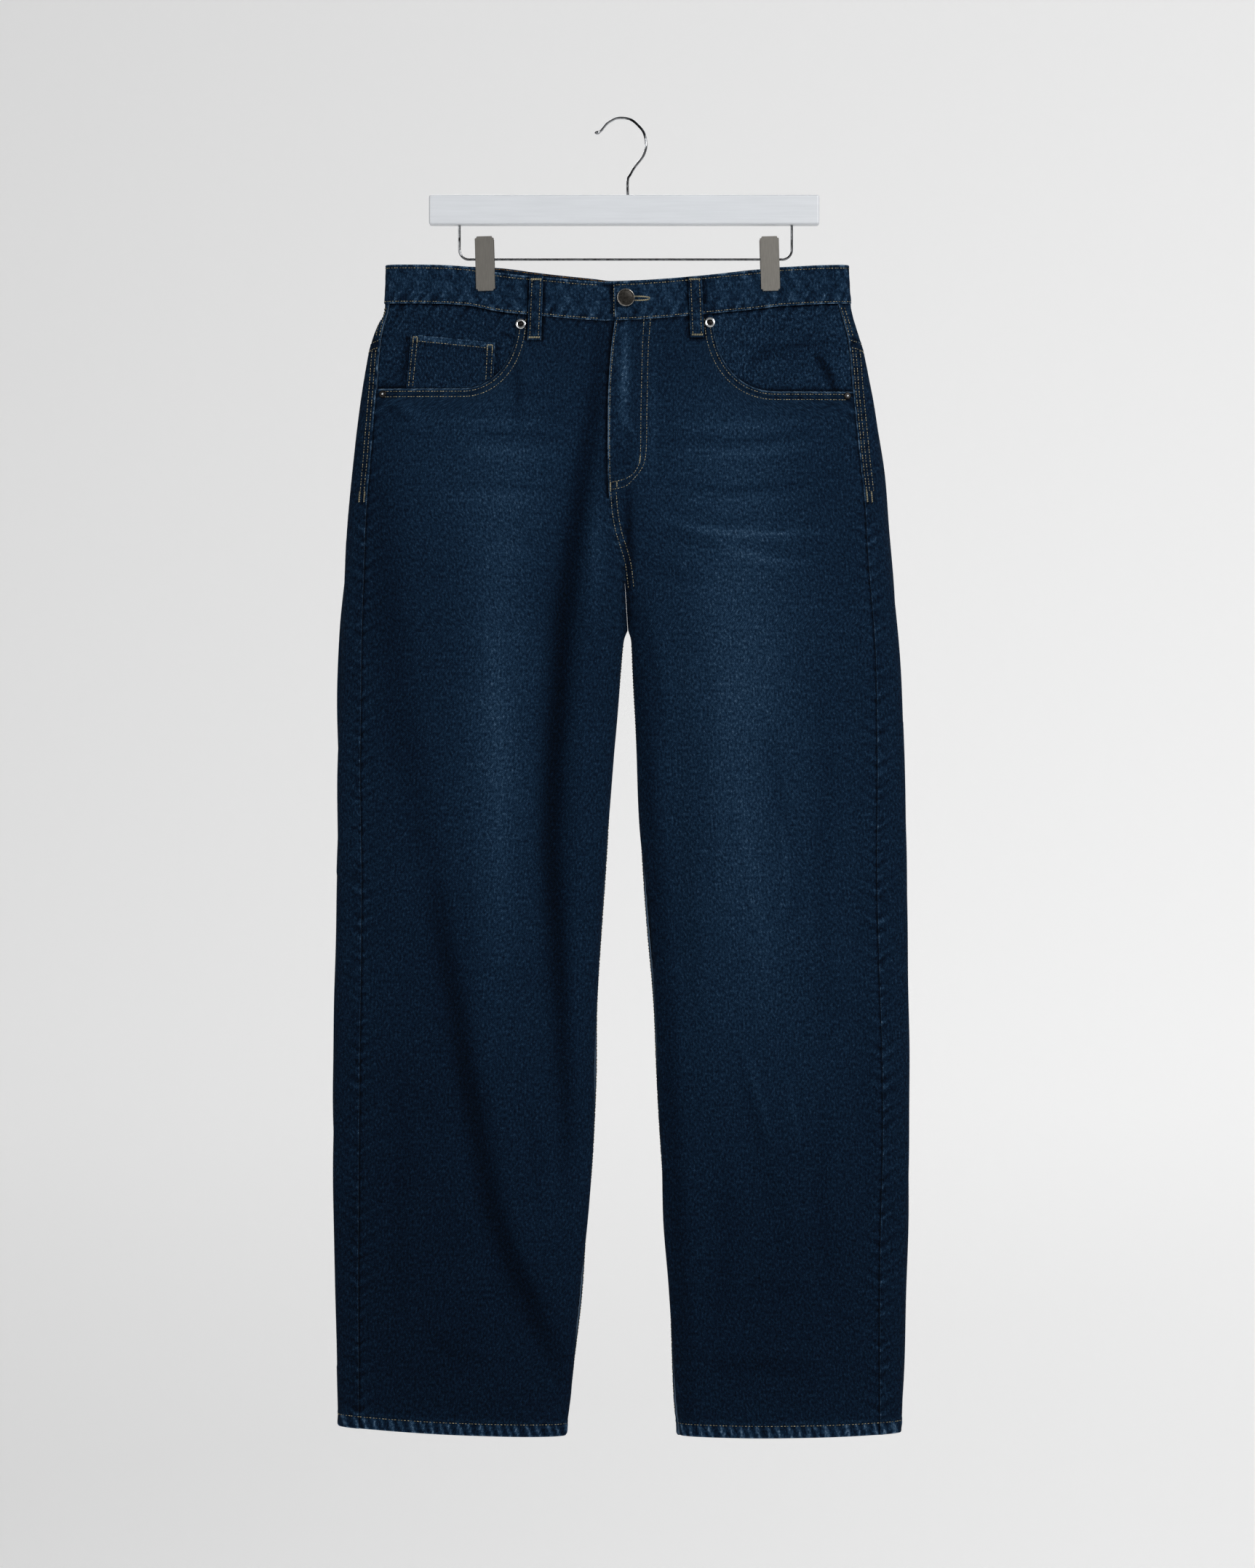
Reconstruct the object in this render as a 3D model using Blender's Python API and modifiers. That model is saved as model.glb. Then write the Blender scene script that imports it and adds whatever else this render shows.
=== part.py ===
"""Loose fit five-pocket jeans hanging from a bar hanger with two clips.

The jeans hang flat and face -Y, with +X at the viewer's right, so the wearer's left is at +X.
The origin is the inside of the hook's crown, where a rail would carry the hanger.
Tables are in millimetres. A "drop" is a distance straight down from the origin.
The cloth is worked out from one skin: at each drop, each half of the garment has a rounded,
flattened section, and a turn of -90 to 90 degrees runs over its front from the centre or
inseam to the outer edge, and 90 to 270 degrees back over its rear.
"""
import math

import bmesh
import bpy
from mathutils import Matrix, Vector

MM = 0.001

# Cloth
WALL = 1.5
HEM_WALL = 3.0
HEM_HEIGHT = 14.0
BAND_WALL = 2.4
BAND_PROUD = 0.6
BAND_HEIGHT = 36.3
SEAM = 0.3
LAYER_GAP = 0.5
POCKET_WALL = 1.2

# Silhouette from the front: drop, left edge, right edge
OUTLINE = (
    (136, -222.4, 209.4),
    (172, -223.7, 211.5),
    (184, -225.2, 213.6),
    (193, -230.5, 216.2),
    (215, -238.0, 223.0),
    (237, -242.1, 227.8),
    (269, -246.8, 233.9),
    (324, -253.0, 242.1),
    (378, -257.7, 246.8),
    (432, -261.8, 251.6),
    (478, -265.2, 255.0),
    (541, -267.2, 259.1),
    (677, -267.9, 263.8),
    (840, -270.6, 265.9),
    (922, -272.0, 266.6),
    (1085, -270.0, 263.8),
    (1194, -267.9, 260.4),
    (1232, -267.2, 257.7),
)

# Inner edges below the crotch: drop, left leg, right leg
CROTCH_DROP = 478.0
INSEAM = (
    (478, 3.4, 3.4),
    (487, 0.0, 6.1),
    (514, -2.7, 7.5),
    (541, -4.8, 8.8),
    (596, -10.2, 11.6),
    (677, -15.6, 15.6),
    (759, -21.1, 23.1),
    (840, -25.2, 28.6),
    (922, -27.2, 31.3),
    (976, -29.9, 34.7),
    (1031, -34.7, 37.4),
    (1085, -39.4, 41.5),
    (1140, -44.9, 44.2),
    (1194, -49.6, 46.9),
    (1232, -54.4, 51.0),
)

# Centre lines above the crotch: drop, across
FRONT_CENTRE = (
    (136, -11.6),
    (187, -8.8),
    (209, -11.6),
    (258, -15.0),
    (341, -15.0),
    (370, -12.2),
    (388, -8.8),
    (418, -1.4),
    (478, 3.4),
)
BACK_CENTRE = (
    (136, -6.5),
    (262, -6.0),
    (400, -1.0),
    (478, 3.4),
)

# Side view: drop, depth of the front, depth of the back, flatness of the section
DEPTH = (
    (136, 8, 8, 16),
    (176, 8, 8, 16),
    (215, 13, 14, 9),
    (270, 20, 23, 5),
    (330, 26, 31, 3.4),
    (400, 30, 37, 2.8),
    (478, 31, 37, 2.5),
    (600, 29, 33, 2.3),
    (760, 26, 29, 2.2),
    (920, 24, 27, 2.2),
    (1232, 22, 24, 2.2),
)

# Where the rise dips in between the legs, down to the crotch
FRONT_ARCH_DROP = 366.0
BACK_ARCH_DROP = 330.0

# Side seams, which lie on the front face: drop, right leg's seam, left leg's seam
SIDE_SEAM = (
    (168, -218.5, 198.0),
    (206, -227.1, 208.8),
    (258, -231.2, 213.5),
    (318, -236.0, 219.5),
    (354, -239.0, 223.7),
    (409, -241.5, 226.8),
    (495, -244.8, 233.2),
    (581, -245.5, 235.3),
    (753, -244.5, 236.0),
    (930, -247.0, 240.7),
    (1061, -247.5, 238.7),
    (1232, -247.5, 238.0),
)

# Waistband's upper edge: across, drop; its seam lies BAND_HEIGHT below
BAND_TOP_FRONT = (
    (-224, 136.7),
    (-148, 138.2),
    (-119, 143.8),
    (-82, 148.2),
    (-12, 153.2),
    (60, 148.2),
    (124, 141.6),
    (145, 139.0),
    (212, 136.7),
)
BAND_TOP_BACK = (
    (-224, 136.7),
    (-135, 139.4),
    (-67, 145.8),
    (-12, 150.6),
    (45, 147.6),
    (137, 139.2),
    (212, 136.7),
)

# Hems: across, drop
HEM = (
    (-267, 1221.3),
    (-160, 1226.5),
    (-54, 1230.2),
    (51, 1230.2),
    (150, 1229.6),
    (258, 1227.2),
)

# Fly lap: the left front lies over the right one
UNDERLAP = 7.0
UNDERLAP_END = 349.0
FLY_END = 356.0
FLY_LIFT = WALL + LAYER_GAP
FLY_WIDTH = 34.0
FLY_SLOPE = 12.0
FLY_FADE = 36.0
BAND_LAP_FROM = -11.6
BAND_LAP_TO = 18.0
BAND_LAP_SLOPE = 24.0

# Pocket mouths: corner across, width of the round part, drop of the lowest stretch
MOUTH = {
    "right": (-99.3, 53.0, 253.6),
    "left": (82.3, 60.0, 256.4),
}
MOUTH_POWER = 2.2
MOUTH_ROUND_SHARE = 0.62
FACING_TUCK = 8.0
FACING_LIFT = -2.4
FACING_START = 0.12
COIN_LIFT = -2.0

# Coin pocket on the right facing: top corners across and drop, bottom corners across
COIN_TOP = ((-198.6, 202.6), (-120.4, 210.1))
COIN_BOTTOM = (-202.6, -121.7)

# Yoke and back pockets
YOKE_SIDE_DROP = 206.0
YOKE_CENTRE_DROP = 262.0
YOKE_CURVE = 1.2
BACK_POCKET = {"from_centre": 42.0, "top_width": 158.0, "bottom_width": 136.0,
               "top": 292.0, "side_bottom": 428.0, "point": 26.0}

# Belt loops: name, face, across at the top, across at the bottom, top drop, bottom drop
LOOP_WIDTH = 12.8
LOOP_WALL = 2.2
LOOP_BOW = 1.4
LOOP_TOP_SEWN = 9.0
LOOP_SEAM_STEPS = (-5.0, 3.0, 9.0)
LOOPS = (
    ("belt_loop_front_right", "front", -81.9, -83.9, 148.6, 208.0),
    ("belt_loop_front_left", "front", 66.0, 68.0, 148.6, 205.4),
    ("belt_loop_back_right", "back", -175.0, -176.0, 138.4, 199.0),
    ("belt_loop_back_left", "back", 168.0, 169.0, 138.2, 199.0),
    ("belt_loop_centre_back", "back", -6.5, -6.5, 152.0, 212.0),
)

# Folds of the cloth: face, half width, depth inwards, then the line it follows as
# drop, across, share of the depth
FOLDS = (
    ("front", 27, 12, ((205, -27, 0.0), (341, -42, 0.55), (480, -57, 1.0), (620, -64, 1.0),
                       (760, -62, 0.7), (960, -74, 0.0))),
    ("front", 30, 6, ((860, -140, 0.0), (1000, -128, 0.8), (1090, -100, 1.0), (1180, -72, 0.3),
                      (1226, -60, 0.0))),
    ("front", 26, 5, ((380, 42, 0.0), (560, 46, 1.0), (760, 50, 0.8), (980, 62, 0.0))),
    ("front", 22, 3, ((880, 104, 0.0), (960, 122, 1.0), (1080, 146, 0.6), (1180, 160, 0.0))),
    ("front", 18, 3, ((640, 222, 0.0), (820, 218, 1.0), (1040, 222, 0.8), (1180, 226, 0.0))),
    ("back", 26, 8, ((458, -92, 0.0), (560, -84, 1.0), (700, -72, 0.7), (900, -80, 0.0))),
    ("back", 26, 8, ((462, 90, 0.0), (550, 84, 1.0), (690, 70, 0.8), (930, 82, 0.0))),
    ("back", 30, 5, ((840, -190, 0.0), (980, -170, 1.0), (1110, -150, 0.5), (1200, -140, 0.0))),
    ("back", 28, 5, ((800, 200, 0.0), (930, 186, 0.8), (1060, 158, 1.0), (1190, 140, 0.0))),
)

# Pinch of the cloth under the clips
CLIPS = {"right": -130.0, "left": 136.0}
PINCH = 3.7
PINCH_FLAT = 13.0
PINCH_SLOPE = 38.0
PINCH_FULL_DROP = 166.0
PINCH_END_DROP = 232.0

# Tack button, and its foot over the waistband's lapped end
BUTTON_ACROSS = 1.4
BUTTON_DROP = 168.3
BUTTON_RADIUS = 8.35
BUTTON_CLEAR = 0.4

# Rivets: name, across, drop, radius, height
RIVET_LIFT = 0.5
RIVETS = (
    ("rivet_pocket_right", -96.4, 192.6, 5.1, 2.0),
    ("rivet_pocket_left", 79.9, 191.2, 5.1, 2.0),
    ("rivet_side_right", -224.6, 258.6, 3.2, 1.4),
    ("rivet_side_left", 207.6, 260.4, 3.2, 1.4),
)

# Hanger
BAR_LENGTH = 364.4
BAR_TOP_DROP = 71.4
BAR_HEIGHT = 27.9
BAR_DEPTH = 14.0
BAR_ROUNDING = 2.2
WIRE_RADIUS = 1.2
SOCKET_RADIUS = 1.5
SOCKET_DEPTH = 16.0
WIRE_IN_SOCKET = 0.6
HOOK_STEPS = 34
HOOK_ROUTE = (
    (3.3, 86.0), (3.3, 71.5), (3.3, 57.0), (5.5, 52.2), (9.1, 46.0), (13.3, 40.5),
    (17.5, 34.9), (20.2, 27.5), (20.2, 21.0), (19.4, 15.9), (17.2, 10.6), (13.3, 6.1),
    (9.1, 2.2), (4.8, -0.1), (-1.0, -1.2), (-6.9, -0.8), (-11.5, 1.2), (-16.0, 4.1),
    (-19.2, 7.7), (-21.5, 10.6), (-24.1, 12.3), (-27.7, 12.7),
)
HOOK_ACROSS = 3.3
CROSS_WIRE_DROP = 131.2
CROSS_WIRE_ENDS = (-154.0, 156.6)
CROSS_WIRE_BEND = 9.0
PLATE_WIDTH = 17.8
PLATE_WALL = 1.0
PLATE_TOP_DROP = 110.2
PLATE_BOTTOM_DROP = 161.2
PLATE_CORNER = 1.6
PLATE_GAP = 0.35
PLATE_LEAN = 1.6
BARREL_LENGTH = 12.0
BARREL_BORE = 1.5

# Columns and rows of the cloth's grids
FRONT_COLUMNS = 14
SCOOP_COLUMNS = 8
BACK_COLUMNS = 15
BAND_COLUMNS = 27
FACING_COLUMNS = 10
COIN_COLUMNS = 6
POCKET_COLUMNS = 8
POCKET_ROWS = 8
WAIST_SPACING = 1.15
MOUTH_JOIN_DROP = 290.0
MOUTH_STEPS = (0.0, 0.12, 0.3, 0.55, 0.8)
LEG_ROWS = (290, 320, 349, 356, 374, 396, 418, 438, 454, 466, 474, 477.5, 478, 488, 508, 545,
            600, 660, 725, 790, 860, 935, 1010, 1085, 1150)

# Turns of the edge columns, and the drop at which turns on the waistband are read
FRONT_FIRST_TURN = -89.6
REAR_LAST_TURN = 269.6
HEM_SEAM_TURN = 0.15
BAND_FIRST_TURN = {"right": -76.0, "left": -82.0}
BAND_LAST_TURN = 268.0
BAND_READ_DROP = 150.0
WAIST_READ_DROP = 172.0

# Finishes: name, colour, roughness, metallic
FINISHES = {
    "denim": ("#152a42", 0.9, 0.0),
    "denim_facing": ("#10233a", 0.9, 0.0),
    "painted_bar": ("#d8dbdf", 0.35, 0.0),
    "chrome": ("#c9ccd1", 0.12, 1.0),
    "nickel": ("#85827d", 0.38, 1.0),
    "pewter": ("#4a4845", 0.35, 1.0),
    "silver": ("#b9bcc0", 0.25, 1.0),
}


def smooth_read(rows, at, column=1):
    """Read a table at a place by a smooth curve through its rows."""
    last = len(rows) - 1
    if at <= rows[0][0]:
        return rows[0][column]
    if at >= rows[last][0]:
        return rows[last][column]
    here = 0
    while rows[here + 1][0] < at:
        here += 1
    slopes = []
    for knot in (here, here + 1):
        before = rows[max(knot - 1, 0)]
        after = rows[min(knot + 1, last)]
        slopes.append((after[column] - before[column]) / (after[0] - before[0]))
    span = rows[here + 1][0] - rows[here][0]
    t = (at - rows[here][0]) / span
    start = rows[here][column]
    end = rows[here + 1][column]
    return ((2 * t**3 - 3 * t**2 + 1) * start + (t**3 - 2 * t**2 + t) * span * slopes[0]
            + (3 * t**2 - 2 * t**3) * end + (t**3 - t**2) * span * slopes[1])


def ease(t):
    """Rise smoothly from 0 to 1 as t does."""
    t = min(max(t, 0.0), 1.0)
    return t * t * (3 - 2 * t)


def mix(a, b, t):
    """Value a share t of the way from a to b."""
    return a + (b - a) * t


def sign_of(side):
    """Direction across in which a half lies: the wearer's left is at +X."""
    return 1 if side == "left" else -1


def outer_edge(side, drop):
    """Silhouette's outer edge on one side."""
    return smooth_read(OUTLINE, drop, 2 if side == "left" else 1)


def inner_edge(side, face, drop):
    """Centre line above the crotch, inner edge of the leg below it."""
    if drop > CROTCH_DROP:
        return smooth_read(INSEAM, drop, 2 if side == "left" else 1) + sign_of(side) * SEAM / 2
    line = FRONT_CENTRE if face == "front" else BACK_CENTRE
    return smooth_read(line, drop) + sign_of(side) * SEAM / 2


def arch(face, drop):
    """Share of the full depth that is left at the centre line: none at the crotch."""
    start = FRONT_ARCH_DROP if face == "front" else BACK_ARCH_DROP
    if drop <= start:
        return 1.0
    if drop >= CROTCH_DROP:
        return 0.0
    return (1 - ((drop - start) / (CROTCH_DROP - start)) ** 2) ** 0.75


def relief(face, across, drop):
    """Folds and clip pinches: how far the cloth lies inside its plain form."""
    depth = 0.0
    for fold_face, half_width, fold_depth, line in FOLDS:
        if fold_face != face or not line[0][0] < drop < line[-1][0]:
            continue
        away = abs(across - smooth_read(line, drop)) / half_width
        if away < 1:
            share = max(smooth_read(line, drop, 2), 0.0)
            depth += fold_depth * share * (0.5 + 0.5 * math.cos(math.pi * away))
    below = ease((drop - PINCH_FULL_DROP) / (PINCH_END_DROP - PINCH_FULL_DROP))
    for centre in CLIPS.values():
        away = ease((abs(across - centre) - PINCH_FLAT) / PINCH_SLOPE)
        depth += PINCH * (1 - below) * (1 - away)
    return depth


def skin(side, turn, drop, lift=0.0):
    """Point of the cloth's outer face in millimetres, moved out by lift."""
    face = "front" if turn <= 90 else "back"
    facing = -1 if face == "front" else 1
    outer = outer_edge(side, drop)
    inner = inner_edge(side, face, drop)
    half = abs(outer - inner) / 2
    reach = math.sin(math.radians(turn))
    across = (outer + inner) / 2 + sign_of(side) * half * reach
    depth = smooth_read(DEPTH, drop, 1 if face == "front" else 2)
    flatness = smooth_read(DEPTH, drop, 3)
    share = 1.0 if reach > 0 else 1 - arch(face, drop) ** 2
    height = math.sqrt(max(1 - share * abs(reach) ** flatness, 0.0))
    slope = share * flatness / 2 * math.copysign(abs(reach) ** (flatness - 1), reach)
    out = Vector((sign_of(side) * depth * slope, facing * half * height, 0)).normalized()
    point = Vector((across, facing * depth * height, -drop))
    return point + out * (lift - relief(face, across, drop))


def turn_at(side, face, across, drop):
    """Turn at which the section of one side reaches a place across."""
    outer = outer_edge(side, drop)
    inner = inner_edge(side, face, drop)
    reach = (across - (outer + inner) / 2) / abs(outer - inner) * 2 * sign_of(side)
    turn = math.degrees(math.asin(min(max(reach, -1.0), 1.0)))
    return turn if face == "front" else 180 - turn


def skin_across(face, across, drop, lift=0.0):
    """Point of the outer face at a place across on the front or the back."""
    side = "left" if across > inner_edge("left", face, drop) else "right"
    return skin(side, turn_at(side, face, across, drop), drop, lift)


def band_top(face, across):
    """Drop of the waistband's upper edge."""
    return smooth_read(BAND_TOP_FRONT if face == "front" else BAND_TOP_BACK, across)


def waist_seam(face, across):
    """Drop of the seam under the waistband."""
    return band_top(face, across) + BAND_HEIGHT


def seam_across(side, drop):
    """Place across of the side seam."""
    return smooth_read(SIDE_SEAM, drop, 2 if side == "left" else 1)


def seam_turn(side, drop):
    """Turn of the side seam."""
    return turn_at(side, "front", seam_across(side, drop), drop)


def hem_drop(across):
    """Drop of the hem."""
    return smooth_read(HEM, across)


def mouth_curve(side, share, tuck=0.0):
    """Point on the pocket mouth's edge: share 0 at the waist seam, 1 at the side seam."""
    corner, width, bottom = MOUTH[side]
    towards = sign_of(side)
    corner -= towards * tuck
    bottom += tuck
    width += tuck
    top = waist_seam("front", corner)
    end = seam_across(side, bottom) - towards * SEAM / 2
    straight = abs(end - corner) - width
    if share < MOUTH_ROUND_SHARE:
        angle = share / MOUTH_ROUND_SHARE * math.pi / 2
        over = 1 - math.cos(angle) ** (2 / MOUTH_POWER)
        down = math.sin(angle) ** (2 / MOUTH_POWER)
        return corner + towards * width * over, mix(top, bottom, down)
    along = (share - MOUTH_ROUND_SHARE) / (1 - MOUTH_ROUND_SHARE)
    return corner + towards * (width + straight * along), bottom


def mouth_drop(side, across):
    """Drop of the pocket mouth's edge under a place across."""
    corner, width, bottom = MOUTH[side]
    top = waist_seam("front", corner)
    over = 1 - min((across - corner) * sign_of(side) / width, 1.0)
    return mix(top, bottom, (1 - over**MOUTH_POWER) ** (1 / MOUTH_POWER))


def make_material(name):
    """Plain surface with the finish's colour, roughness and metallic value."""
    colour, roughness, metallic = FINISHES[name]
    linear = []
    for start in (1, 3, 5):
        value = int(colour[start:start + 2], 16) / 255
        linear.append(value / 12.92 if value <= 0.04045 else ((value + 0.055) / 1.055) ** 2.4)
    material = bpy.data.materials.new(name)
    material.use_nodes = True
    shader = material.node_tree.nodes["Principled BSDF"]
    shader.inputs["Base Color"].default_value = (*linear, 1)
    shader.inputs["Roughness"].default_value = roughness
    shader.inputs["Metallic"].default_value = metallic
    return material


def clear_scene():
    """Remove the scene's objects."""
    for found in list(bpy.data.objects):
        bpy.data.objects.remove(found, do_unlink=True)


class Workshop:
    """Collections, the empty that carries the part, and one material for each finish."""

    def __init__(self):
        self.parts = bpy.data.collections.new("loose_fit_jeans")
        self.cutters = bpy.data.collections.new("cutters")
        bpy.context.scene.collection.children.link(self.parts)
        bpy.context.scene.collection.children.link(self.cutters)
        self.root = bpy.data.objects.new("jeans_on_hanger", None)
        self.parts.objects.link(self.root)
        self.finishes = {name: make_material(name) for name in FINISHES}

    def add(self, thing, finish, smooth_angle=40):
        """Give an object its finish, its collection and its parent."""
        for home in list(thing.users_collection):
            home.objects.unlink(thing)
        self.parts.objects.link(thing)
        thing.parent = self.root
        thing.data.materials.append(self.finishes[finish])
        if thing.type == "MESH":
            thing.data.shade_smooth()
            thing.data.set_sharp_from_angle(angle=math.radians(smooth_angle))
        return thing

    def add_cutter(self, thing):
        """Keep a cutting shape out of the part."""
        for home in list(thing.users_collection):
            home.objects.unlink(thing)
        self.cutters.objects.link(thing)
        thing.parent = self.root
        thing.hide_render = True
        thing.display_type = "WIRE"
        return thing


def cloth_wall(name, outer, inner):
    """Closed wall of cloth lofted between an outer and an inner grid of points."""
    columns = len(outer)
    rows = len(outer[0])
    mesh = bmesh.new()
    faces = []
    for grid in (outer, inner):
        faces.append([[mesh.verts.new(point * MM) for point in column] for column in grid])
    front, back = faces
    for i in range(columns - 1):
        for j in range(rows - 1):
            mesh.faces.new((front[i][j], front[i + 1][j], front[i + 1][j + 1], front[i][j + 1]))
            mesh.faces.new((back[i][j], back[i][j + 1], back[i + 1][j + 1], back[i + 1][j]))
    for i in range(columns - 1):
        for j in (0, rows - 1):
            mesh.faces.new((front[i][j], back[i][j], back[i + 1][j], front[i + 1][j]))
    for j in range(rows - 1):
        for i in (0, columns - 1):
            mesh.faces.new((front[i][j], front[i][j + 1], back[i][j + 1], back[i][j]))
    bmesh.ops.recalc_face_normals(mesh, faces=mesh.faces[:])
    data = bpy.data.meshes.new(name)
    mesh.to_mesh(data)
    mesh.free()
    return bpy.data.objects.new(name, data)


def hem_wall(across, drop):
    """Thickness of a panel: double where the hem is turned up."""
    return HEM_WALL if hem_drop(across) - drop < HEM_HEIGHT + 0.5 else WALL


def hem_rows(across):
    """Rows at the hem's upper edge and its fold."""
    bottom = hem_drop(across)
    return (bottom - HEM_HEIGHT - 3.0, bottom - HEM_HEIGHT, bottom)


def fly_lift(across, drop):
    """How far the left front stands out where it laps over the right one."""
    edge = smooth_read(FRONT_CENTRE, drop)
    along = 1 - ease((across - edge - FLY_WIDTH) / FLY_SLOPE)
    down = 1 - ease((drop - FLY_END) / FLY_FADE)
    return FLY_LIFT * along * down


def front_panel(side):
    """Front of one leg, from the centre line or inseam to the side seam."""
    waist_columns = FRONT_COLUMNS - SCOOP_COLUMNS
    corner = MOUTH[side][0]
    outer = []
    inner = []
    for i in range(FRONT_COLUMNS + 1):
        share = i / FRONT_COLUMNS
        if i <= waist_columns:
            start = inner_edge(side, "front", waist_seam("front", 0))
            top_across = mix(start, corner, (i / waist_columns) ** WAIST_SPACING)
            top_drop = waist_seam("front", top_across) + SEAM / 2
        else:
            top_across, top_drop = mouth_curve(side, (i - waist_columns) / SCOOP_COLUMNS)
        points = []
        join_turn = mix(FRONT_FIRST_TURN, seam_turn(side, MOUTH_JOIN_DROP), share)
        for step in MOUTH_STEPS:
            drop = mix(top_drop, MOUTH_JOIN_DROP, step)
            join_across = skin(side, join_turn, MOUTH_JOIN_DROP).x
            across = mix(top_across, join_across, step)
            if i == FRONT_COLUMNS:
                across = seam_across(side, drop) - sign_of(side) * SEAM / 2
            if i == 0:
                across = inner_edge(side, "front", drop)
            points.append((turn_at(side, "front", across, drop), drop))
        for drop in LEG_ROWS:
            end = turn_at(side, "front", seam_across(side, drop) - sign_of(side) * SEAM / 2, drop)
            points.append((mix(FRONT_FIRST_TURN, end, share), drop))
        hem_across = skin(side, points[-1][0], LEG_ROWS[-1]).x
        for drop in hem_rows(hem_across):
            end = seam_turn(side, drop) - HEM_SEAM_TURN
            points.append((mix(FRONT_FIRST_TURN, end, share), drop))
        outer_line = []
        inner_line = []
        for turn, drop in points:
            half = side
            across = skin(side, turn, drop).x
            lift = fly_lift(across, drop) if side == "left" else 0.0
            if side == "right" and i == 0 and drop <= UNDERLAP_END:
                half = "left"
                across = smooth_read(FRONT_CENTRE, drop) + UNDERLAP
                turn = turn_at("left", "front", across, drop)
            outer_line.append(skin(half, turn, drop, lift))
            inner_line.append(skin(half, turn, drop, lift - hem_wall(across, drop)))
        outer.append(outer_line)
        inner.append(inner_line)
    return cloth_wall("front_panel_" + side, outer, inner)


def yoke_drop(share):
    """Drop of the yoke's lower seam: share 0 at the side seam, 1 at the centre back."""
    return mix(YOKE_SIDE_DROP, YOKE_CENTRE_DROP, share**YOKE_CURVE)


def rear_turn(side, share, drop):
    """Turn of a column of the rear pieces, from the side seam round to the centre back."""
    start = turn_at(side, "front", seam_across(side, drop) + sign_of(side) * SEAM / 2, drop)
    return mix(start, REAR_LAST_TURN, share)


def back_yoke(side):
    """Yoke of one side, between the waist seam and the back panel."""
    outer = []
    inner = []
    for i in range(BACK_COLUMNS + 1):
        share = i / BACK_COLUMNS
        turn = rear_turn(side, share, waist_seam("front", seam_across(side, WAIST_READ_DROP)))
        face = "front" if turn <= 90 else "back"
        top = waist_seam(face, skin(side, turn, WAIST_READ_DROP).x) + SEAM / 2
        bottom = yoke_drop(share) - SEAM / 2
        outer_line = []
        inner_line = []
        for step in (0.0, 0.35, 0.7, 1.0):
            drop = mix(top, bottom, step)
            turn = rear_turn(side, share, drop)
            outer_line.append(skin(side, turn, drop))
            inner_line.append(skin(side, turn, drop, -WALL))
        outer.append(outer_line)
        inner.append(inner_line)
    return cloth_wall("back_yoke_" + side, outer, inner)


def back_panel(side):
    """Back of one leg, wrapped round the outer edge onto the front face."""
    outer = []
    inner = []
    for i in range(BACK_COLUMNS + 1):
        share = i / BACK_COLUMNS
        top = yoke_drop(share) + SEAM / 2
        drops = [mix(top, MOUTH_JOIN_DROP, step) for step in (0.0, 0.35, 0.7)]
        drops.extend(LEG_ROWS)
        across = skin(side, rear_turn(side, share, LEG_ROWS[-1]), LEG_ROWS[-1]).x
        drops.extend(hem_rows(across))
        outer_line = []
        inner_line = []
        for drop in drops:
            turn = rear_turn(side, share, drop)
            here = skin(side, turn, drop).x
            outer_line.append(skin(side, turn, drop))
            inner_line.append(skin(side, turn, drop, -hem_wall(here, drop)))
        outer.append(outer_line)
        inner.append(inner_line)
    return cloth_wall("back_panel_" + side, outer, inner)


def pocket_facing(side):
    """Cloth behind the pocket mouth, tucked under the front panel's edge."""
    lift = FACING_LIFT
    outer = []
    inner = []
    for i in range(FACING_COLUMNS + 1):
        share = mix(FACING_START, 1.0, i / FACING_COLUMNS)
        low_across, low_drop = mouth_curve(side, share, FACING_TUCK)
        end = seam_across(side, waist_seam("front", seam_across(side, WAIST_READ_DROP)))
        if i == FACING_COLUMNS:
            low_across -= sign_of(side) * SEAM / 2
        start = mouth_curve(side, FACING_START, FACING_TUCK)[0]
        top_across = mix(start, end - sign_of(side) * SEAM, i / FACING_COLUMNS)
        top_drop = waist_seam("front", top_across) + SEAM / 2
        outer_line = []
        inner_line = []
        for step in (0.0, 0.25, 0.5, 0.75, 1.0):
            drop = mix(top_drop, low_drop, step)
            across = mix(top_across, low_across, step)
            if i == FACING_COLUMNS:
                across = seam_across(side, drop) - sign_of(side) * SEAM
            outer_line.append(skin_across("front", across, drop, lift))
            inner_line.append(skin_across("front", across, drop, lift - POCKET_WALL))
        outer.append(outer_line)
        inner.append(inner_line)
    return cloth_wall("pocket_facing_" + side, outer, inner)


def coin_pocket():
    """Small pocket on the right facing; its foot runs into the pocket mouth's edge."""
    lift = COIN_LIFT
    outer = []
    inner = []
    for i in range(COIN_COLUMNS + 1):
        share = i / COIN_COLUMNS
        top_across = mix(COIN_TOP[0][0], COIN_TOP[1][0], share)
        top_drop = mix(COIN_TOP[0][1], COIN_TOP[1][1], share)
        low_across = mix(COIN_BOTTOM[0], COIN_BOTTOM[1], share)
        low_drop = mouth_drop("right", low_across) - 0.8
        outer_line = []
        inner_line = []
        for step in (0.0, 0.33, 0.67, 1.0):
            across = mix(top_across, low_across, step)
            drop = mix(top_drop, low_drop, step)
            outer_line.append(skin_across("front", across, drop, lift + POCKET_WALL))
            inner_line.append(skin_across("front", across, drop, lift))
        outer.append(outer_line)
        inner.append(inner_line)
    return cloth_wall("coin_pocket", outer, inner)


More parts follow.
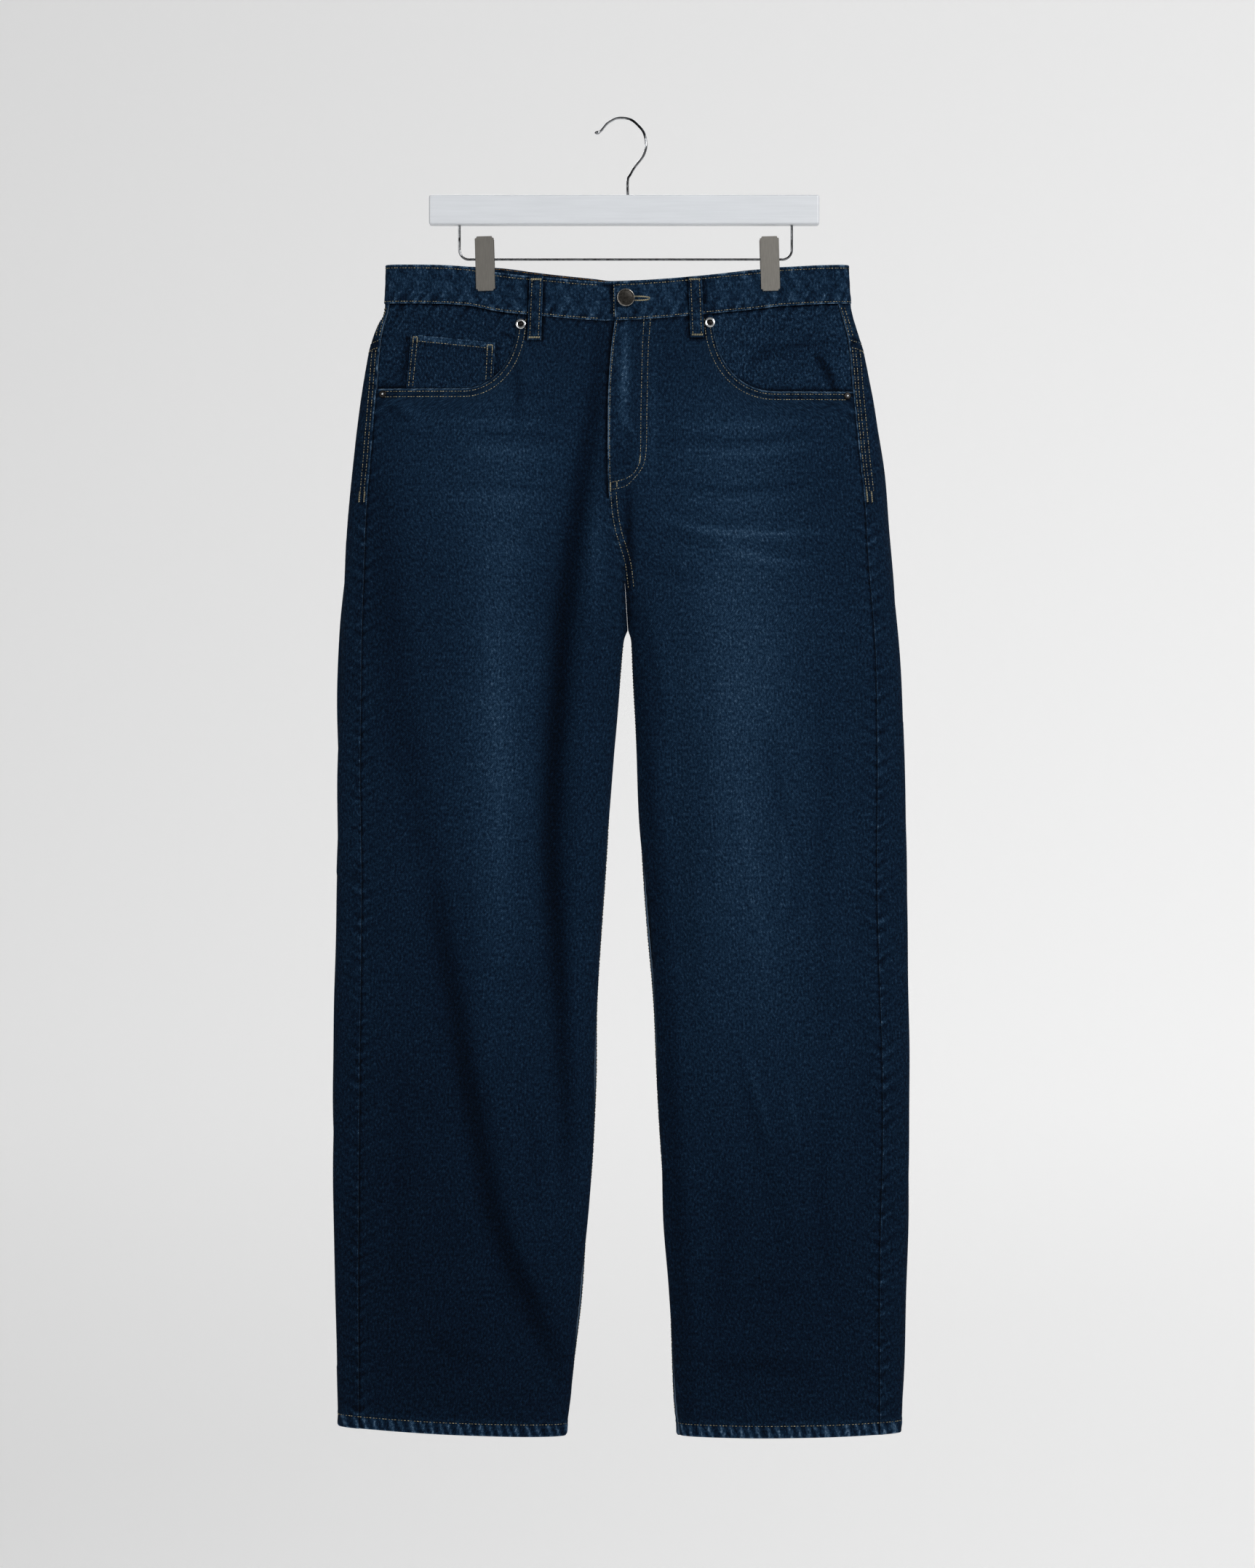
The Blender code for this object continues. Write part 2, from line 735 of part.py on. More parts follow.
def back_pocket(side):
    """Plain patch pocket with a pointed foot on the back panel."""
    towards = sign_of(side)
    size = BACK_POCKET
    outer = []
    inner = []
    for i in range(POCKET_COLUMNS + 1):
        share = i / POCKET_COLUMNS
        narrow = (size["top_width"] - size["bottom_width"]) / 2
        top_out = size["from_centre"] + size["top_width"] * share
        low_out = size["from_centre"] + narrow + size["bottom_width"] * share
        bottom = size["side_bottom"] + size["point"] * (1 - abs(2 * share - 1))
        outer_line = []
        inner_line = []
        for j in range(POCKET_ROWS + 1):
            down = j / POCKET_ROWS
            drop = mix(size["top"], bottom, down)
            centre = smooth_read(BACK_CENTRE, drop)
            across = centre + towards * mix(top_out, low_out, down)
            outer_line.append(skin_across("back", across, drop, LAYER_GAP + 0.2 + POCKET_WALL))
            inner_line.append(skin_across("back", across, drop, LAYER_GAP + 0.2))
        outer.append(outer_line)
        inner.append(inner_line)
    return cloth_wall("back_pocket_" + side, outer, inner)


def band_lift(across):
    """How far the waistband's lapped end stands out over the end beneath it."""
    return (BAND_WALL + LAYER_GAP) * (1 - ease((across - BAND_LAP_TO - 1) / BAND_LAP_SLOPE))


def band_column(outer, inner, side, turn, lift):
    """One column of the waistband from its upper edge to its seam."""
    face = "front" if turn <= 90 else "back"
    across = skin(side, turn, BAND_READ_DROP).x
    top = band_top(face, across)
    outer_line = []
    inner_line = []
    for step in (0.0, 0.33, 0.67, 1.0):
        drop = mix(top, top + BAND_HEIGHT - SEAM / 2, step)
        outer_line.append(skin(side, turn, drop, lift + BAND_PROUD))
        inner_line.append(skin(side, turn, drop, lift + BAND_PROUD - BAND_WALL))
    outer.append(outer_line)
    inner.append(inner_line)


def band_turns(side):
    """Turns of the waistband's columns on one side, with one at each edge of a clip's pinch."""
    first = BAND_FIRST_TURN[side]
    turns = [mix(first, BAND_LAST_TURN, i / BAND_COLUMNS) for i in range(BAND_COLUMNS + 1)]
    for face in ("front", "back"):
        for edge in (-PINCH_FLAT, PINCH_FLAT):
            fixed = turn_at(side, face, CLIPS[side] + edge, BAND_READ_DROP)
            nearest = min(turns, key=lambda turn: abs(turn - fixed))
            turns[turns.index(nearest)] = fixed
    return sorted(turns)


def waistband():
    """One strip round the waist, whose left end laps over its right end in front."""
    outer = []
    inner = []
    for step in range(3):
        across = mix(BAND_LAP_TO, BAND_LAP_FROM + 3, step / 2)
        turn = turn_at("left", "front", across, BAND_READ_DROP)
        band_column(outer, inner, "left", turn, 0.0)
    for turn in band_turns("right"):
        band_column(outer, inner, "right", turn, 0.0)
    for turn in reversed(band_turns("left")):
        across = skin("left", turn, BAND_READ_DROP).x
        lift = band_lift(across) if turn < 60 else 0.0
        band_column(outer, inner, "left", turn, lift)
    last = turn_at("left", "front", BAND_LAP_FROM, BAND_READ_DROP)
    band_column(outer, inner, "left", last, BAND_WALL + LAYER_GAP)
    return cloth_wall("waistband", outer, inner)


def belt_loop(name, face, top_across, low_across, top, bottom):
    """Narrow strip over the waistband, sewn down at both ends."""
    outer = []
    inner = []
    seam = waist_seam(face, top_across)
    drops = (top, top + LOOP_TOP_SEWN, mix(top, seam, 0.55),
             *(seam + step for step in LOOP_SEAM_STEPS), bottom)
    clear = BAND_PROUD + LAYER_GAP
    lifts = (clear, clear, clear + LOOP_BOW, clear + 0.2, clear, LAYER_GAP + 0.4, LAYER_GAP + 0.1)
    for edge in (-0.5, 0.0, 0.5):
        outer_line = []
        inner_line = []
        for drop, lift in zip(drops, lifts):
            middle = mix(top_across, low_across, (drop - top) / (bottom - top))
            across = middle + edge * LOOP_WIDTH
            outer_line.append(skin_across(face, across, drop, lift + LOOP_WALL))
            inner_line.append(skin_across(face, across, drop, lift))
        outer.append(outer_line)
        inner.append(inner_line)
    return cloth_wall(name, outer, inner)


def turned(name, profile, steps):
    """Turned shape from a profile of radius and height, in millimetres."""
    mesh = bmesh.new()
    verts = [mesh.verts.new((radius * MM, 0, height * MM)) for radius, height in profile]
    for start, end in zip(verts, verts[1:]):
        mesh.edges.new((start, end))
    data = bpy.data.meshes.new(name)
    mesh.to_mesh(data)
    mesh.free()
    thing = bpy.data.objects.new(name, data)
    screw = thing.modifiers.new("turn", "SCREW")
    screw.steps = steps
    screw.render_steps = steps
    screw.use_merge_vertices = True
    screw.merge_threshold = 0.00001
    return thing


def stand_on_cloth(thing, across, drop, lift):
    """Place a turned piece on the front face, its axis along the cloth's outward normal."""
    here = skin_across("front", across, drop, lift)
    beside = skin_across("front", across + 4, drop, lift) - skin_across("front", across - 4, drop, lift)
    below = skin_across("front", across, drop + 4, lift) - skin_across("front", across, drop - 4, lift)
    out = beside.cross(below).normalized()
    if out.y > 0:
        out = -out
    thing.rotation_mode = "QUATERNION"
    thing.rotation_quaternion = Vector((0, 0, 1)).rotation_difference(out)
    thing.location = here * MM
    return thing


def button():
    """Plain domed tack button on its shank."""
    profile = [(0, 5.0), (3.0, 4.85), (5.8, 4.3), (7.6, 3.5), (BUTTON_RADIUS, 2.6),
               (8.1, 1.9), (3.4, 1.7), (3.4, 0.0), (0, 0.0)]
    lift = BAND_PROUD + BAND_WALL + LAYER_GAP + BUTTON_CLEAR
    return stand_on_cloth(turned("tack_button", profile, 24), BUTTON_ACROSS, BUTTON_DROP, lift)


def rivet(name, across, drop, radius, height):
    """Bare rivet: a rimmed ring with a nub, or a small dome."""
    if radius > 4:
        profile = [(0, height), (1.5, height - 0.2), (1.9, 0.9), (2.6, 0.8), (3.4, 1.5),
                   (4.5, 1.4), (radius, 0.6), (radius, 0.0), (0, 0.0)]
    else:
        profile = [(0, height), (1.9, 1.05), (radius, 0.4), (radius, 0.0), (0, 0.0)]
    return stand_on_cloth(turned(name, profile, 16), across, drop, RIVET_LIFT)


def wire(name, route, radius, tip=None):
    """Round wire through a route of points in millimetres."""
    curve = bpy.data.curves.new(name, "CURVE")
    curve.dimensions = "3D"
    curve.bevel_depth = radius * MM
    curve.bevel_resolution = 2
    curve.use_fill_caps = True
    spline = curve.splines.new("POLY")
    spline.points.add(len(route) - 1)
    for point, place in zip(spline.points, route):
        point.co = (*(place * MM), 1)
    if tip:
        for point, swell in zip(reversed(spline.points), tip):
            point.radius = swell
    return bpy.data.objects.new(name, curve)


def hook():
    """Hook from its socket in the bar, over the crown to its rounded tip."""
    knots = [(index, *place) for index, place in enumerate(HOOK_ROUTE)]
    route = []
    for step in range(HOOK_STEPS + 1):
        at = (len(HOOK_ROUTE) - 1) * step / HOOK_STEPS
        route.append(Vector((smooth_read(knots, at, 1), 0, -smooth_read(knots, at, 2))))
    return wire("hook", route, WIRE_RADIUS, tip=(1.2, 1.55, 1.5, 1.1))


def cross_wire():
    """Wire bent to a U under the bar, which carries the clips."""
    left, right = CROSS_WIRE_ENDS
    bend = CROSS_WIRE_BEND
    up = -(BAR_TOP_DROP + BAR_HEIGHT - SOCKET_DEPTH * WIRE_IN_SOCKET)
    low = -CROSS_WIRE_DROP
    route = [Vector((left, 0, up))]
    for centre, first in ((left + bend, 180), (right - bend, 270)):
        for step in range(6):
            angle = math.radians(first + 90 * step / 5)
            route.append(Vector((centre + bend * math.cos(angle), 0,
                                 low + bend + bend * math.sin(angle))))
    route.append(Vector((right, 0, up)))
    return wire("cross_wire", route, WIRE_RADIUS)


def box(name, size, place):
    """Box of a size in millimetres, centred at a place."""
    mesh = bmesh.new()
    bmesh.ops.create_cube(mesh, size=1.0, matrix=Matrix.Diagonal((*[s * MM for s in size], 1)))
    data = bpy.data.meshes.new(name)
    mesh.to_mesh(data)
    mesh.free()
    thing = bpy.data.objects.new(name, data)
    thing.location = Vector(place) * MM
    return thing


def socket_cutter(name, across, centre_drop, length):
    """Round cutter for a wire's socket."""
    mesh = bmesh.new()
    bmesh.ops.create_cone(mesh, cap_ends=True, segments=16, radius1=SOCKET_RADIUS * MM,
                          radius2=SOCKET_RADIUS * MM, depth=length * MM)
    data = bpy.data.meshes.new(name)
    mesh.to_mesh(data)
    mesh.free()
    thing = bpy.data.objects.new(name, data)
    thing.location = Vector((across, 0, -centre_drop)) * MM
    return thing


def hanger_bar(shop):
    """Bar with rounded edges and sockets for the hook and the cross wire."""
    centre = BAR_TOP_DROP + BAR_HEIGHT / 2
    bar = box("hanger_bar", (BAR_LENGTH, BAR_DEPTH, BAR_HEIGHT), (0, 0, -centre))
    rounding = bar.modifiers.new("rounding", "BEVEL")
    rounding.width = BAR_ROUNDING * MM
    rounding.segments = 3
    low = BAR_TOP_DROP + BAR_HEIGHT
    sockets = (("hook_socket", HOOK_ACROSS, BAR_TOP_DROP),
               ("right_wire_socket", CROSS_WIRE_ENDS[0], low),
               ("left_wire_socket", CROSS_WIRE_ENDS[1], low))
    for name, across, drop in sockets:
        cutter = shop.add_cutter(socket_cutter(name, across, drop, 2 * SOCKET_DEPTH))
        cut = bar.modifiers.new(name, "BOOLEAN")
        cut.operation = "DIFFERENCE"
        cut.solver = "EXACT"
        cut.object = cutter
    return bar


def clip_plate(name, across, facing, out):
    """Flat plate with rounded corners, one jaw of a clip."""
    height = PLATE_BOTTOM_DROP - PLATE_TOP_DROP
    curve = bpy.data.curves.new(name, "CURVE")
    curve.dimensions = "2D"
    curve.fill_mode = "BOTH"
    curve.extrude = PLATE_WALL / 2 * MM
    outline = []
    for quarter, (sx, sy) in enumerate(((1, 1), (-1, 1), (-1, -1), (1, -1))):
        for step in range(4):
            angle = math.radians(90 * quarter + 30 * step)
            outline.append((sx * (PLATE_WIDTH / 2 - PLATE_CORNER) + PLATE_CORNER * math.cos(angle),
                            sy * (height / 2 - PLATE_CORNER) + PLATE_CORNER * math.sin(angle)))
    spline = curve.splines.new("POLY")
    spline.points.add(len(outline) - 1)
    for point, (x, y) in zip(spline.points, outline):
        point.co = (x * MM, y * MM, 0, 1)
    spline.use_cyclic_u = True
    plate = bpy.data.objects.new(name, curve)
    plate.rotation_euler = (math.radians(90), math.radians(-PLATE_LEAN), 0)
    centre = (PLATE_TOP_DROP + PLATE_BOTTOM_DROP) / 2
    plate.location = Vector((across, facing * (out + PLATE_WALL / 2), -centre)) * MM
    return plate


def clip_barrel(name, across, radius):
    """Barrel round the cross wire, between the two plates of a clip."""
    half = BARREL_LENGTH / 2
    profile = [(BARREL_BORE, half), (radius, half), (radius, -half), (BARREL_BORE, -half),
               (BARREL_BORE, half)]
    barrel = turned(name, profile, 20)
    barrel.rotation_euler = (0, math.radians(90), 0)
    barrel.location = Vector((across, 0, -CROSS_WIRE_DROP)) * MM
    return barrel


def clip(shop, side):
    """Two plates and the barrel that carries them on the wire."""
    across = CLIPS[side]
    cloth = abs(skin_across("front", across, BAND_READ_DROP, BAND_PROUD).y)
    inner_face = cloth + PLATE_GAP
    shop.add(clip_plate("clip_front_plate_" + side, across, -1, inner_face), "nickel")
    shop.add(clip_plate("clip_back_plate_" + side, across, 1, inner_face), "nickel")
    shop.add(clip_barrel("clip_barrel_" + side, across, inner_face - PLATE_GAP), "nickel")


def main():
    """Build the hanger, then the jeans."""
    clear_scene()
    shop = Workshop()
    shop.add(hanger_bar(shop), "painted_bar")
    shop.add(hook(), "chrome")
    shop.add(cross_wire(), "chrome")
    for side in ("right", "left"):
        clip(shop, side)
        shop.add(front_panel(side), "denim")
        shop.add(back_yoke(side), "denim")
        shop.add(back_panel(side), "denim")
        shop.add(back_pocket(side), "denim")
        shop.add(pocket_facing(side), "denim_facing")
    shop.add(coin_pocket(), "denim_facing")
    shop.add(waistband(), "denim")
    for row in LOOPS:
        shop.add(belt_loop(*row), "denim")
    shop.add(button(), "pewter")
    for row in RIVETS:
        shop.add(rivet(*row), "silver" if row[3] > 4 else "pewter")


main()
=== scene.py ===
"""Loose fit jeans on a clip hanger, dressed for looks.

The cloth follows the same skin as the solids: a drop is a distance in millimetres straight down
from the inside of the hook's crown, across is towards the viewer's right, and a turn runs round
one half of the garment, -90 to 90 over its front and 90 to 270 over its rear.
"""
import math
from functools import partial

import bmesh
import bpy
import numpy as np
from mathutils import Matrix, Vector


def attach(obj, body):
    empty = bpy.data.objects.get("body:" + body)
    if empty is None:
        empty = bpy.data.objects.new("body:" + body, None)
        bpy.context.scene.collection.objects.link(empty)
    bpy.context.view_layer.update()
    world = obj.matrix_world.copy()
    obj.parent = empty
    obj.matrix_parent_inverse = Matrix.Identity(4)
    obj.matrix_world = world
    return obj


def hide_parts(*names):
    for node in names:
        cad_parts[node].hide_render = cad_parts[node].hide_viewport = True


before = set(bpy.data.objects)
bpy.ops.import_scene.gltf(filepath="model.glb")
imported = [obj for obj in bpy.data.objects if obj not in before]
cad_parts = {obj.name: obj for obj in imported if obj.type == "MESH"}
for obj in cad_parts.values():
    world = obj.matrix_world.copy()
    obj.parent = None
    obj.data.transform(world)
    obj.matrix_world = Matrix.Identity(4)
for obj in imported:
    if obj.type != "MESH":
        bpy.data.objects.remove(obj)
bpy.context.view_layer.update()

bl_info = {
    "name": "Loose fit jeans on a clip hanger",
    "version": (1, 0, 0),
    "blender": (4, 5, 0),
    "location": "3D View > Sidebar > Jeans",
    "description": "Builds the denim, stitches, trim, hanger and studio round the packed solids",
    "category": "Object",
}

MM = 0.001
SIDES = ("right", "left")

# Turns of a section's first and last columns, just short of the centre line or inseam
FIRST_TURN = -89.6
LAST_TURN = 269.6

# Cloth, in millimetres
WALL = 1.5
HEM_WALL = 3.0
HEM_HEIGHT = 14.0
HEM_ROW = 11.4
BAND_WALL = 2.4
BAND_PROUD = 0.6
BAND_HEIGHT = 36.3
SEAM = 0.3
LAYER_GAP = 0.5
POCKET_WALL = 1.2
CLOTH_SHARP = 55

# Distance from an edge at which its seam no longer shapes the cloth
FAR = 60.0

# Length over which a stretch of a leg begins and ends
WINDOW_SLOPE = 60.0

# Silhouette from the front: drop, left edge, right edge
OUTLINE = (
    (136, -222.4, 209.4), (172, -223.7, 211.5), (184, -225.2, 213.6), (193, -230.5, 216.2),
    (215, -238.0, 223.0), (237, -242.1, 227.8), (269, -246.8, 233.9), (324, -253.0, 242.1),
    (378, -257.7, 246.8), (432, -261.8, 251.6), (478, -265.2, 255.0), (541, -267.2, 259.1),
    (677, -267.9, 263.8), (840, -270.6, 265.9), (922, -272.0, 266.6), (1085, -270.0, 263.8),
    (1194, -267.9, 260.4), (1232, -267.2, 257.7),
)

# Inner edges below the crotch: drop, left leg, right leg
CROTCH_DROP = 478.0
INSEAM = (
    (478, 3.4, 3.4), (487, 0.0, 6.1), (514, -2.7, 7.5), (541, -4.8, 8.8), (596, -10.2, 11.6),
    (677, -15.6, 15.6), (759, -21.1, 23.1), (840, -25.2, 28.6), (922, -27.2, 31.3),
    (976, -29.9, 34.7), (1031, -34.7, 37.4), (1085, -39.4, 41.5), (1140, -44.9, 44.2),
    (1194, -49.6, 46.9), (1232, -54.4, 51.0),
)

# Centre lines above the crotch: drop, across
CENTRE = {
    "front": ((136, -11.6), (187, -8.8), (209, -11.6), (258, -15.0), (341, -15.0),
              (370, -12.2), (388, -8.8), (418, -1.4), (478, 3.4)),
    "back": ((136, -6.5), (262, -6.0), (400, -1.0), (478, 3.4)),
}

# Side view: drop, depth of the front, depth of the back, flatness of the section
DEPTH = (
    (136, 8, 8, 16), (176, 8, 8, 16), (215, 13, 14, 9), (270, 20, 23, 5), (330, 26, 31, 3.4),
    (400, 30, 37, 2.8), (478, 31, 37, 2.5), (600, 29, 33, 2.3), (760, 26, 29, 2.2),
    (920, 24, 27, 2.2), (1232, 22, 24, 2.2),
)
ARCH_DROP = {"front": 366.0, "back": 330.0}

# Side seams on the front face: drop, right leg's seam, left leg's seam
SIDE_SEAM = (
    (168, -218.5, 198.0), (206, -227.1, 208.8), (258, -231.2, 213.5), (318, -236.0, 219.5),
    (354, -239.0, 223.7), (409, -241.5, 226.8), (495, -244.8, 233.2), (581, -245.5, 235.3),
    (753, -244.5, 236.0), (930, -247.0, 240.7), (1061, -247.5, 238.7), (1232, -247.5, 238.0),
)

# Waistband's upper edge: across, drop
BAND_TOP = {
    "front": ((-224, 136.7), (-148, 138.2), (-119, 143.8), (-82, 148.2), (-12, 153.2),
              (60, 148.2), (124, 141.6), (145, 139.0), (212, 136.7)),
    "back": ((-224, 136.7), (-148, 137.4), (-119, 138.7), (-107, 139.7), (-67, 144.5),
             (-26, 148.8), (-12, 150.4), (45, 147.6), (137, 139.2), (212, 136.7)),
}

# Hems: across, drop
HEM = ((-267, 1221.3), (-160, 1226.5), (-54, 1230.2), (51, 1230.2), (150, 1229.6),
       (258, 1227.2))

# Fly lap and waistband lap
UNDERLAP = 7.0
UNDERLAP_END = 349.0
FLY_END = 356.0
FLY_LIFT = WALL + LAYER_GAP
FLY_WIDTH = 34.0
FLY_SLOPE = 12.0
FLY_FADE = 36.0
BAND_LAP_FROM = -11.6
BAND_LAP_TO = 18.0
BAND_LAP_SLOPE = 24.0

# Pocket mouths: corner across, width of the round part, drop of the lowest stretch
MOUTH = {"right": (-99.3, 53.0, 253.6), "left": (82.3, 60.0, 256.4)}
MOUTH_POWER = 2.2
MOUTH_ROWS = (2.7, 7.7)
MOUTH_ROUND_SHARE = 0.62
WAIST_SHARE = 6 / 14
MOUTH_JOIN_DROP = 290.0
FACING_TUCK = 8.0
FACING_LIFT = -2.4
FACING_START = 0.12
COIN_LIFT = -2.0
COIN_TOP = ((-198.6, 202.6), (-120.4, 210.1))
COIN_BOTTOM = (-202.6, -121.7)

# Yoke and back pockets
YOKE_SIDE_DROP = 206.0
YOKE_CENTRE_DROP = 262.0
YOKE_CURVE = 1.2
SIDE_ROWS = {"right": (3.2, 6.8), "left": (2.4, 5.4, 9.4)}
POCKET_START = 42.0
POCKET_TOP_WIDTH = 158.0
POCKET_LOW_WIDTH = 136.0
POCKET_TOP_DROP = 292.0
POCKET_LOW_DROP = 428.0
POCKET_POINT = 26.0

# Belt loops: name, face, across at the top, across at the bottom, top drop, bottom drop
LOOP_WIDTH = 12.8
LOOP_WALL = 2.2
LOOP_BOW = 1.4
LOOPS = (
    ("belt_loop_front_right", "front", -81.9, -83.9, 148.6, 208.0),
    ("belt_loop_front_left", "front", 66.0, 68.0, 148.6, 205.4),
    ("belt_loop_back_right", "back", -175.0, -176.0, 138.4, 199.0),
    ("belt_loop_back_left", "back", 168.0, 169.0, 138.2, 199.0),
    ("belt_loop_centre_back", "back", -6.5, -6.5, 152.0, 212.0),
)

# Large folds of each face: half width, depth, then drop, across and share of the depth
FOLDS = {
    "front": (
        (27, 12, ((205, -27, 0), (341, -42, 0.55), (480, -57, 1), (620, -64, 1), (760, -62, 0.7),
         (960, -74, 0))),
        (30, 6, ((860, -140, 0), (1000, -128, 0.8), (1090, -100, 1), (1180, -72, 0.3),
         (1226, -60, 0))),
        (26, 5, ((380, 42, 0), (560, 46, 1), (760, 50, 0.8), (980, 62, 0))),
        (22, 3, ((880, 104, 0), (960, 122, 1), (1080, 146, 0.6), (1180, 160, 0))),
        (18, 3, ((640, 222, 0), (820, 218, 1), (1040, 222, 0.8), (1180, 226, 0))),
    ),
    "back": (
        (26, 8, ((458, -92, 0), (560, -84, 1), (700, -72, 0.7), (900, -80, 0))),
        (26, 8, ((462, 90, 0), (550, 84, 1), (690, 70, 0.8), (930, 82, 0))),
        (30, 5, ((840, -190, 0), (980, -170, 1), (1110, -150, 0.5), (1200, -140, 0))),
        (28, 5, ((800, 200, 0), (930, 186, 0.8), (1060, 158, 1), (1190, 140, 0))),
    ),
}

# Painted shade on the pocket facings, beside the coin pocket's sides and in small folds: line,
# width, how much darker
FACING_SHADES = {
    "right": ((((-201, 206), (-203.5, 232), (-206, 262)), 3.2, 0.24),
              (((-118, 212), (-118.5, 230), (-119.5, 262)), 2.6, 0.20),
              (((-113, 201), (-103, 205.5)), 1.6, 0.30)),
    "left": ((((180, 222), (189, 236), (197, 256)), 3.4, 0.34),
             (((120, 226), (150, 214), (186, 210)), 5.0, 0.10)),
}

# How much paler a crest of a millimetre's height is worn
PALE_CRESTS = 0.62

# Creases placed on each face: width, depth (a ridge where negative), how much paler the crest is
# worn (where negative, how much painted shade darkens the valley), then the line's places as
# across and drop in turn
CREASES = {
    "front": (
        # right leg: the long valley beside the fly, and the fold from the knee to the inner hem
        (8.5, 2.4, -0.3, -17, 165, -21, 204, -28, 268, -39, 332, -48, 397, -57, 468, -61, 533, -66,
         604, -68, 676, -64, 748, -61, 805, -57, 877, -53, 940, -52, 1010),
        (14, 1.2, -0.07, -236, 300, -224, 400, -215, 476, -207, 562, -193, 633, -175, 712, -164,
         780, -154, 840),
        (9.5, 3.4, -0.24, -178, 700, -168, 769, -157, 826, -147, 891, -136, 955, -122, 1020, -104,
         1070, -82, 1120, -62, 1160, -50, 1190),
        (10, -1, 0.05, -150, 900, -132, 980, -108, 1040, -84, 1086),
        (4, 1, -0.1, -103, 206, -101, 232, -99, 262, -100, 296),
        # whiskers on the right leg's hip and thigh
        (5, -0.4, 0.06, -186, 283, -101, 287, -44, 292),
        (3, 0.5, -0.07, -140, 296, -87, 297, -50, 301),
        (6, -0.4, 0.06, -162, 310, -87, 314, -46, 318),
        (3, 0.5, -0.07, -150, 341, -100, 345, -56, 347),
        (6, -0.3, 0.04, -186, 352, -130, 357, -62, 360),
        (7, -0.4, 0.03, -148, 402, -90, 408, -66, 410),
        # whiskers on the left leg
        (5, -0.4, 0.06, 46, 288, 97, 291, 170, 284),
        (3, 0.5, -0.07, 36, 300, 100, 303, 180, 298),
        (5, -0.4, 0.07, 42, 312, 97, 316, 182, 308),
        (3.2, 0.5, -0.08, 40, 345, 104, 349, 176, 342),
        (5, -0.4, 0.05, 46, 357, 104, 360, 186, 354),
        (2.8, -0.8, 0.17, 25, 367, 40, 376, 68, 385, 97, 389, 150, 390, 192, 388),
        (4, 0.7, -0.05, 30, 382, 60, 394, 94, 400),
        (3, -0.7, 0.13, 84, 398, 100, 405, 133, 415, 176, 417),
        # drag lines from the fly and the crotch
        (5, 0.8, -0.05, 2, 400, 22, 416, 52, 428, 84, 433),
        (3.6, 1.2, -0.34, 4, 340, 4, 370, 4, 410, 3, 450, 3, 500),
        (5, 1, -0.08, 8, 452, 22, 480, 30, 530, 36, 600),
        (1.7, -0.4, 0.2, -8, 273, -4, 276, 4, 287.6, 10.2, 299.2, 12, 306),
        (1.5, -0.3, 0.12, -6, 300, 0, 306, 7, 314),
        (3, 0.7, -0.12, -222, 268, -211, 277, -199, 286),
        (3, -0.4, 0.08, -214, 262, -196, 276, -184, 290),
        # soft creases down the legs
        (9, -1.2, 0.05, -128, 430, -120, 560, -116, 680, -112, 800),
        (7, 1.1, -0.03, -150, 640, -146, 740, -140, 850),
        (8, 0.9, -0.03, -214, 860, -206, 960, -212, 1060, -206, 1150),
        (7, 1.1, -0.04, -96, 900, -84, 960, -78, 1030),
        (9, 1.4, -0.04, 62, 430, 74, 540, 72, 660, 82, 760),
        (8, 1.3, -0.07, 132, 560, 140, 620, 150, 690, 158, 760),
        (4, -1, 0.1, 140, 640, 148, 672, 152, 712, 148, 744),
        (7, -0.8, 0.04, 104, 600, 116, 690, 128, 760, 132, 820),
        (8, 1.1, -0.04, 180, 500, 188, 620, 182, 730, 190, 850),
        (4, 0.9, -0.05, 105, 880, 117, 922, 131, 968),
        (2.6, -0.9, 0.09, 112, 862, 124, 908, 139, 960),
        (2.6, -0.6, 0.07, 150, 886, 157, 925, 163, 960),
        (8, 1.1, -0.04, 86, 960, 96, 1050, 88, 1140),
        (7, 0.9, -0.04, 190, 900, 182, 1000, 190, 1100),
        (6, 0.9, -0.07, 60, 1150, 90, 1164, 140, 1160, 180, 1166),
        (6, 0.9, -0.05, 118, 1080, 140, 1092, 166, 1090),
        (6, 0.9, -0.04, -190, 1120, -160, 1150, -120, 1166),
    ),
    "back": (
        # seat, thighs and knees behind
        (6, -0.6, 0.09, -190, 452, -120, 462, -30, 456),
        (5, 1, -0.08, -196, 468, -120, 480, -40, 476),
        (6, -0.6, 0.08, -180, 488, -110, 500, -44, 505),
        (5, -0.6, 0.09, 24, 458, 100, 464, 184, 450),
        (5, 1, -0.08, 30, 478, 110, 484, 188, 470),
        (6, -0.6, 0.08, 34, 500, 110, 510, 170, 498),
        (8, 2.4, -0.2, -40, 470, -58, 520, -70, 600, -76, 700, -72, 800),
        (8, 2.2, -0.18, 36, 474, 52, 530, 62, 610, 66, 700, 64, 780),
        (8, 1.4, -0.05, -150, 560, -140, 680, -152, 800),
        (8, 1.2, -0.05, 150, 540, 142, 660, 156, 790),
        (6, -0.8, 0.07, -200, 800, -150, 812, -80, 806),
        (6, -0.8, 0.07, -190, 842, -140, 850, -76, 838),
        (5, 1, -0.07, -196, 822, -140, 830, -84, 822),
        (6, -0.8, 0.07, 66, 806, 130, 818, 196, 804),
        (6, -0.7, 0.06, 74, 852, 136, 856, 190, 838),
        (5, 1, -0.07, 70, 828, 134, 838, 194, 822),
        (8, 2.4, -0.14, -190, 860, -172, 960, -146, 1050, -116, 1120),
        (8, 2.2, -0.14, 196, 840, 180, 940, 158, 1040, 128, 1130),
        (6, 1, -0.05, -200, 1120, -150, 1160, -100, 1170),
        (6, 1, -0.05, 90, 1130, 140, 1166, 196, 1160),
    ),
}
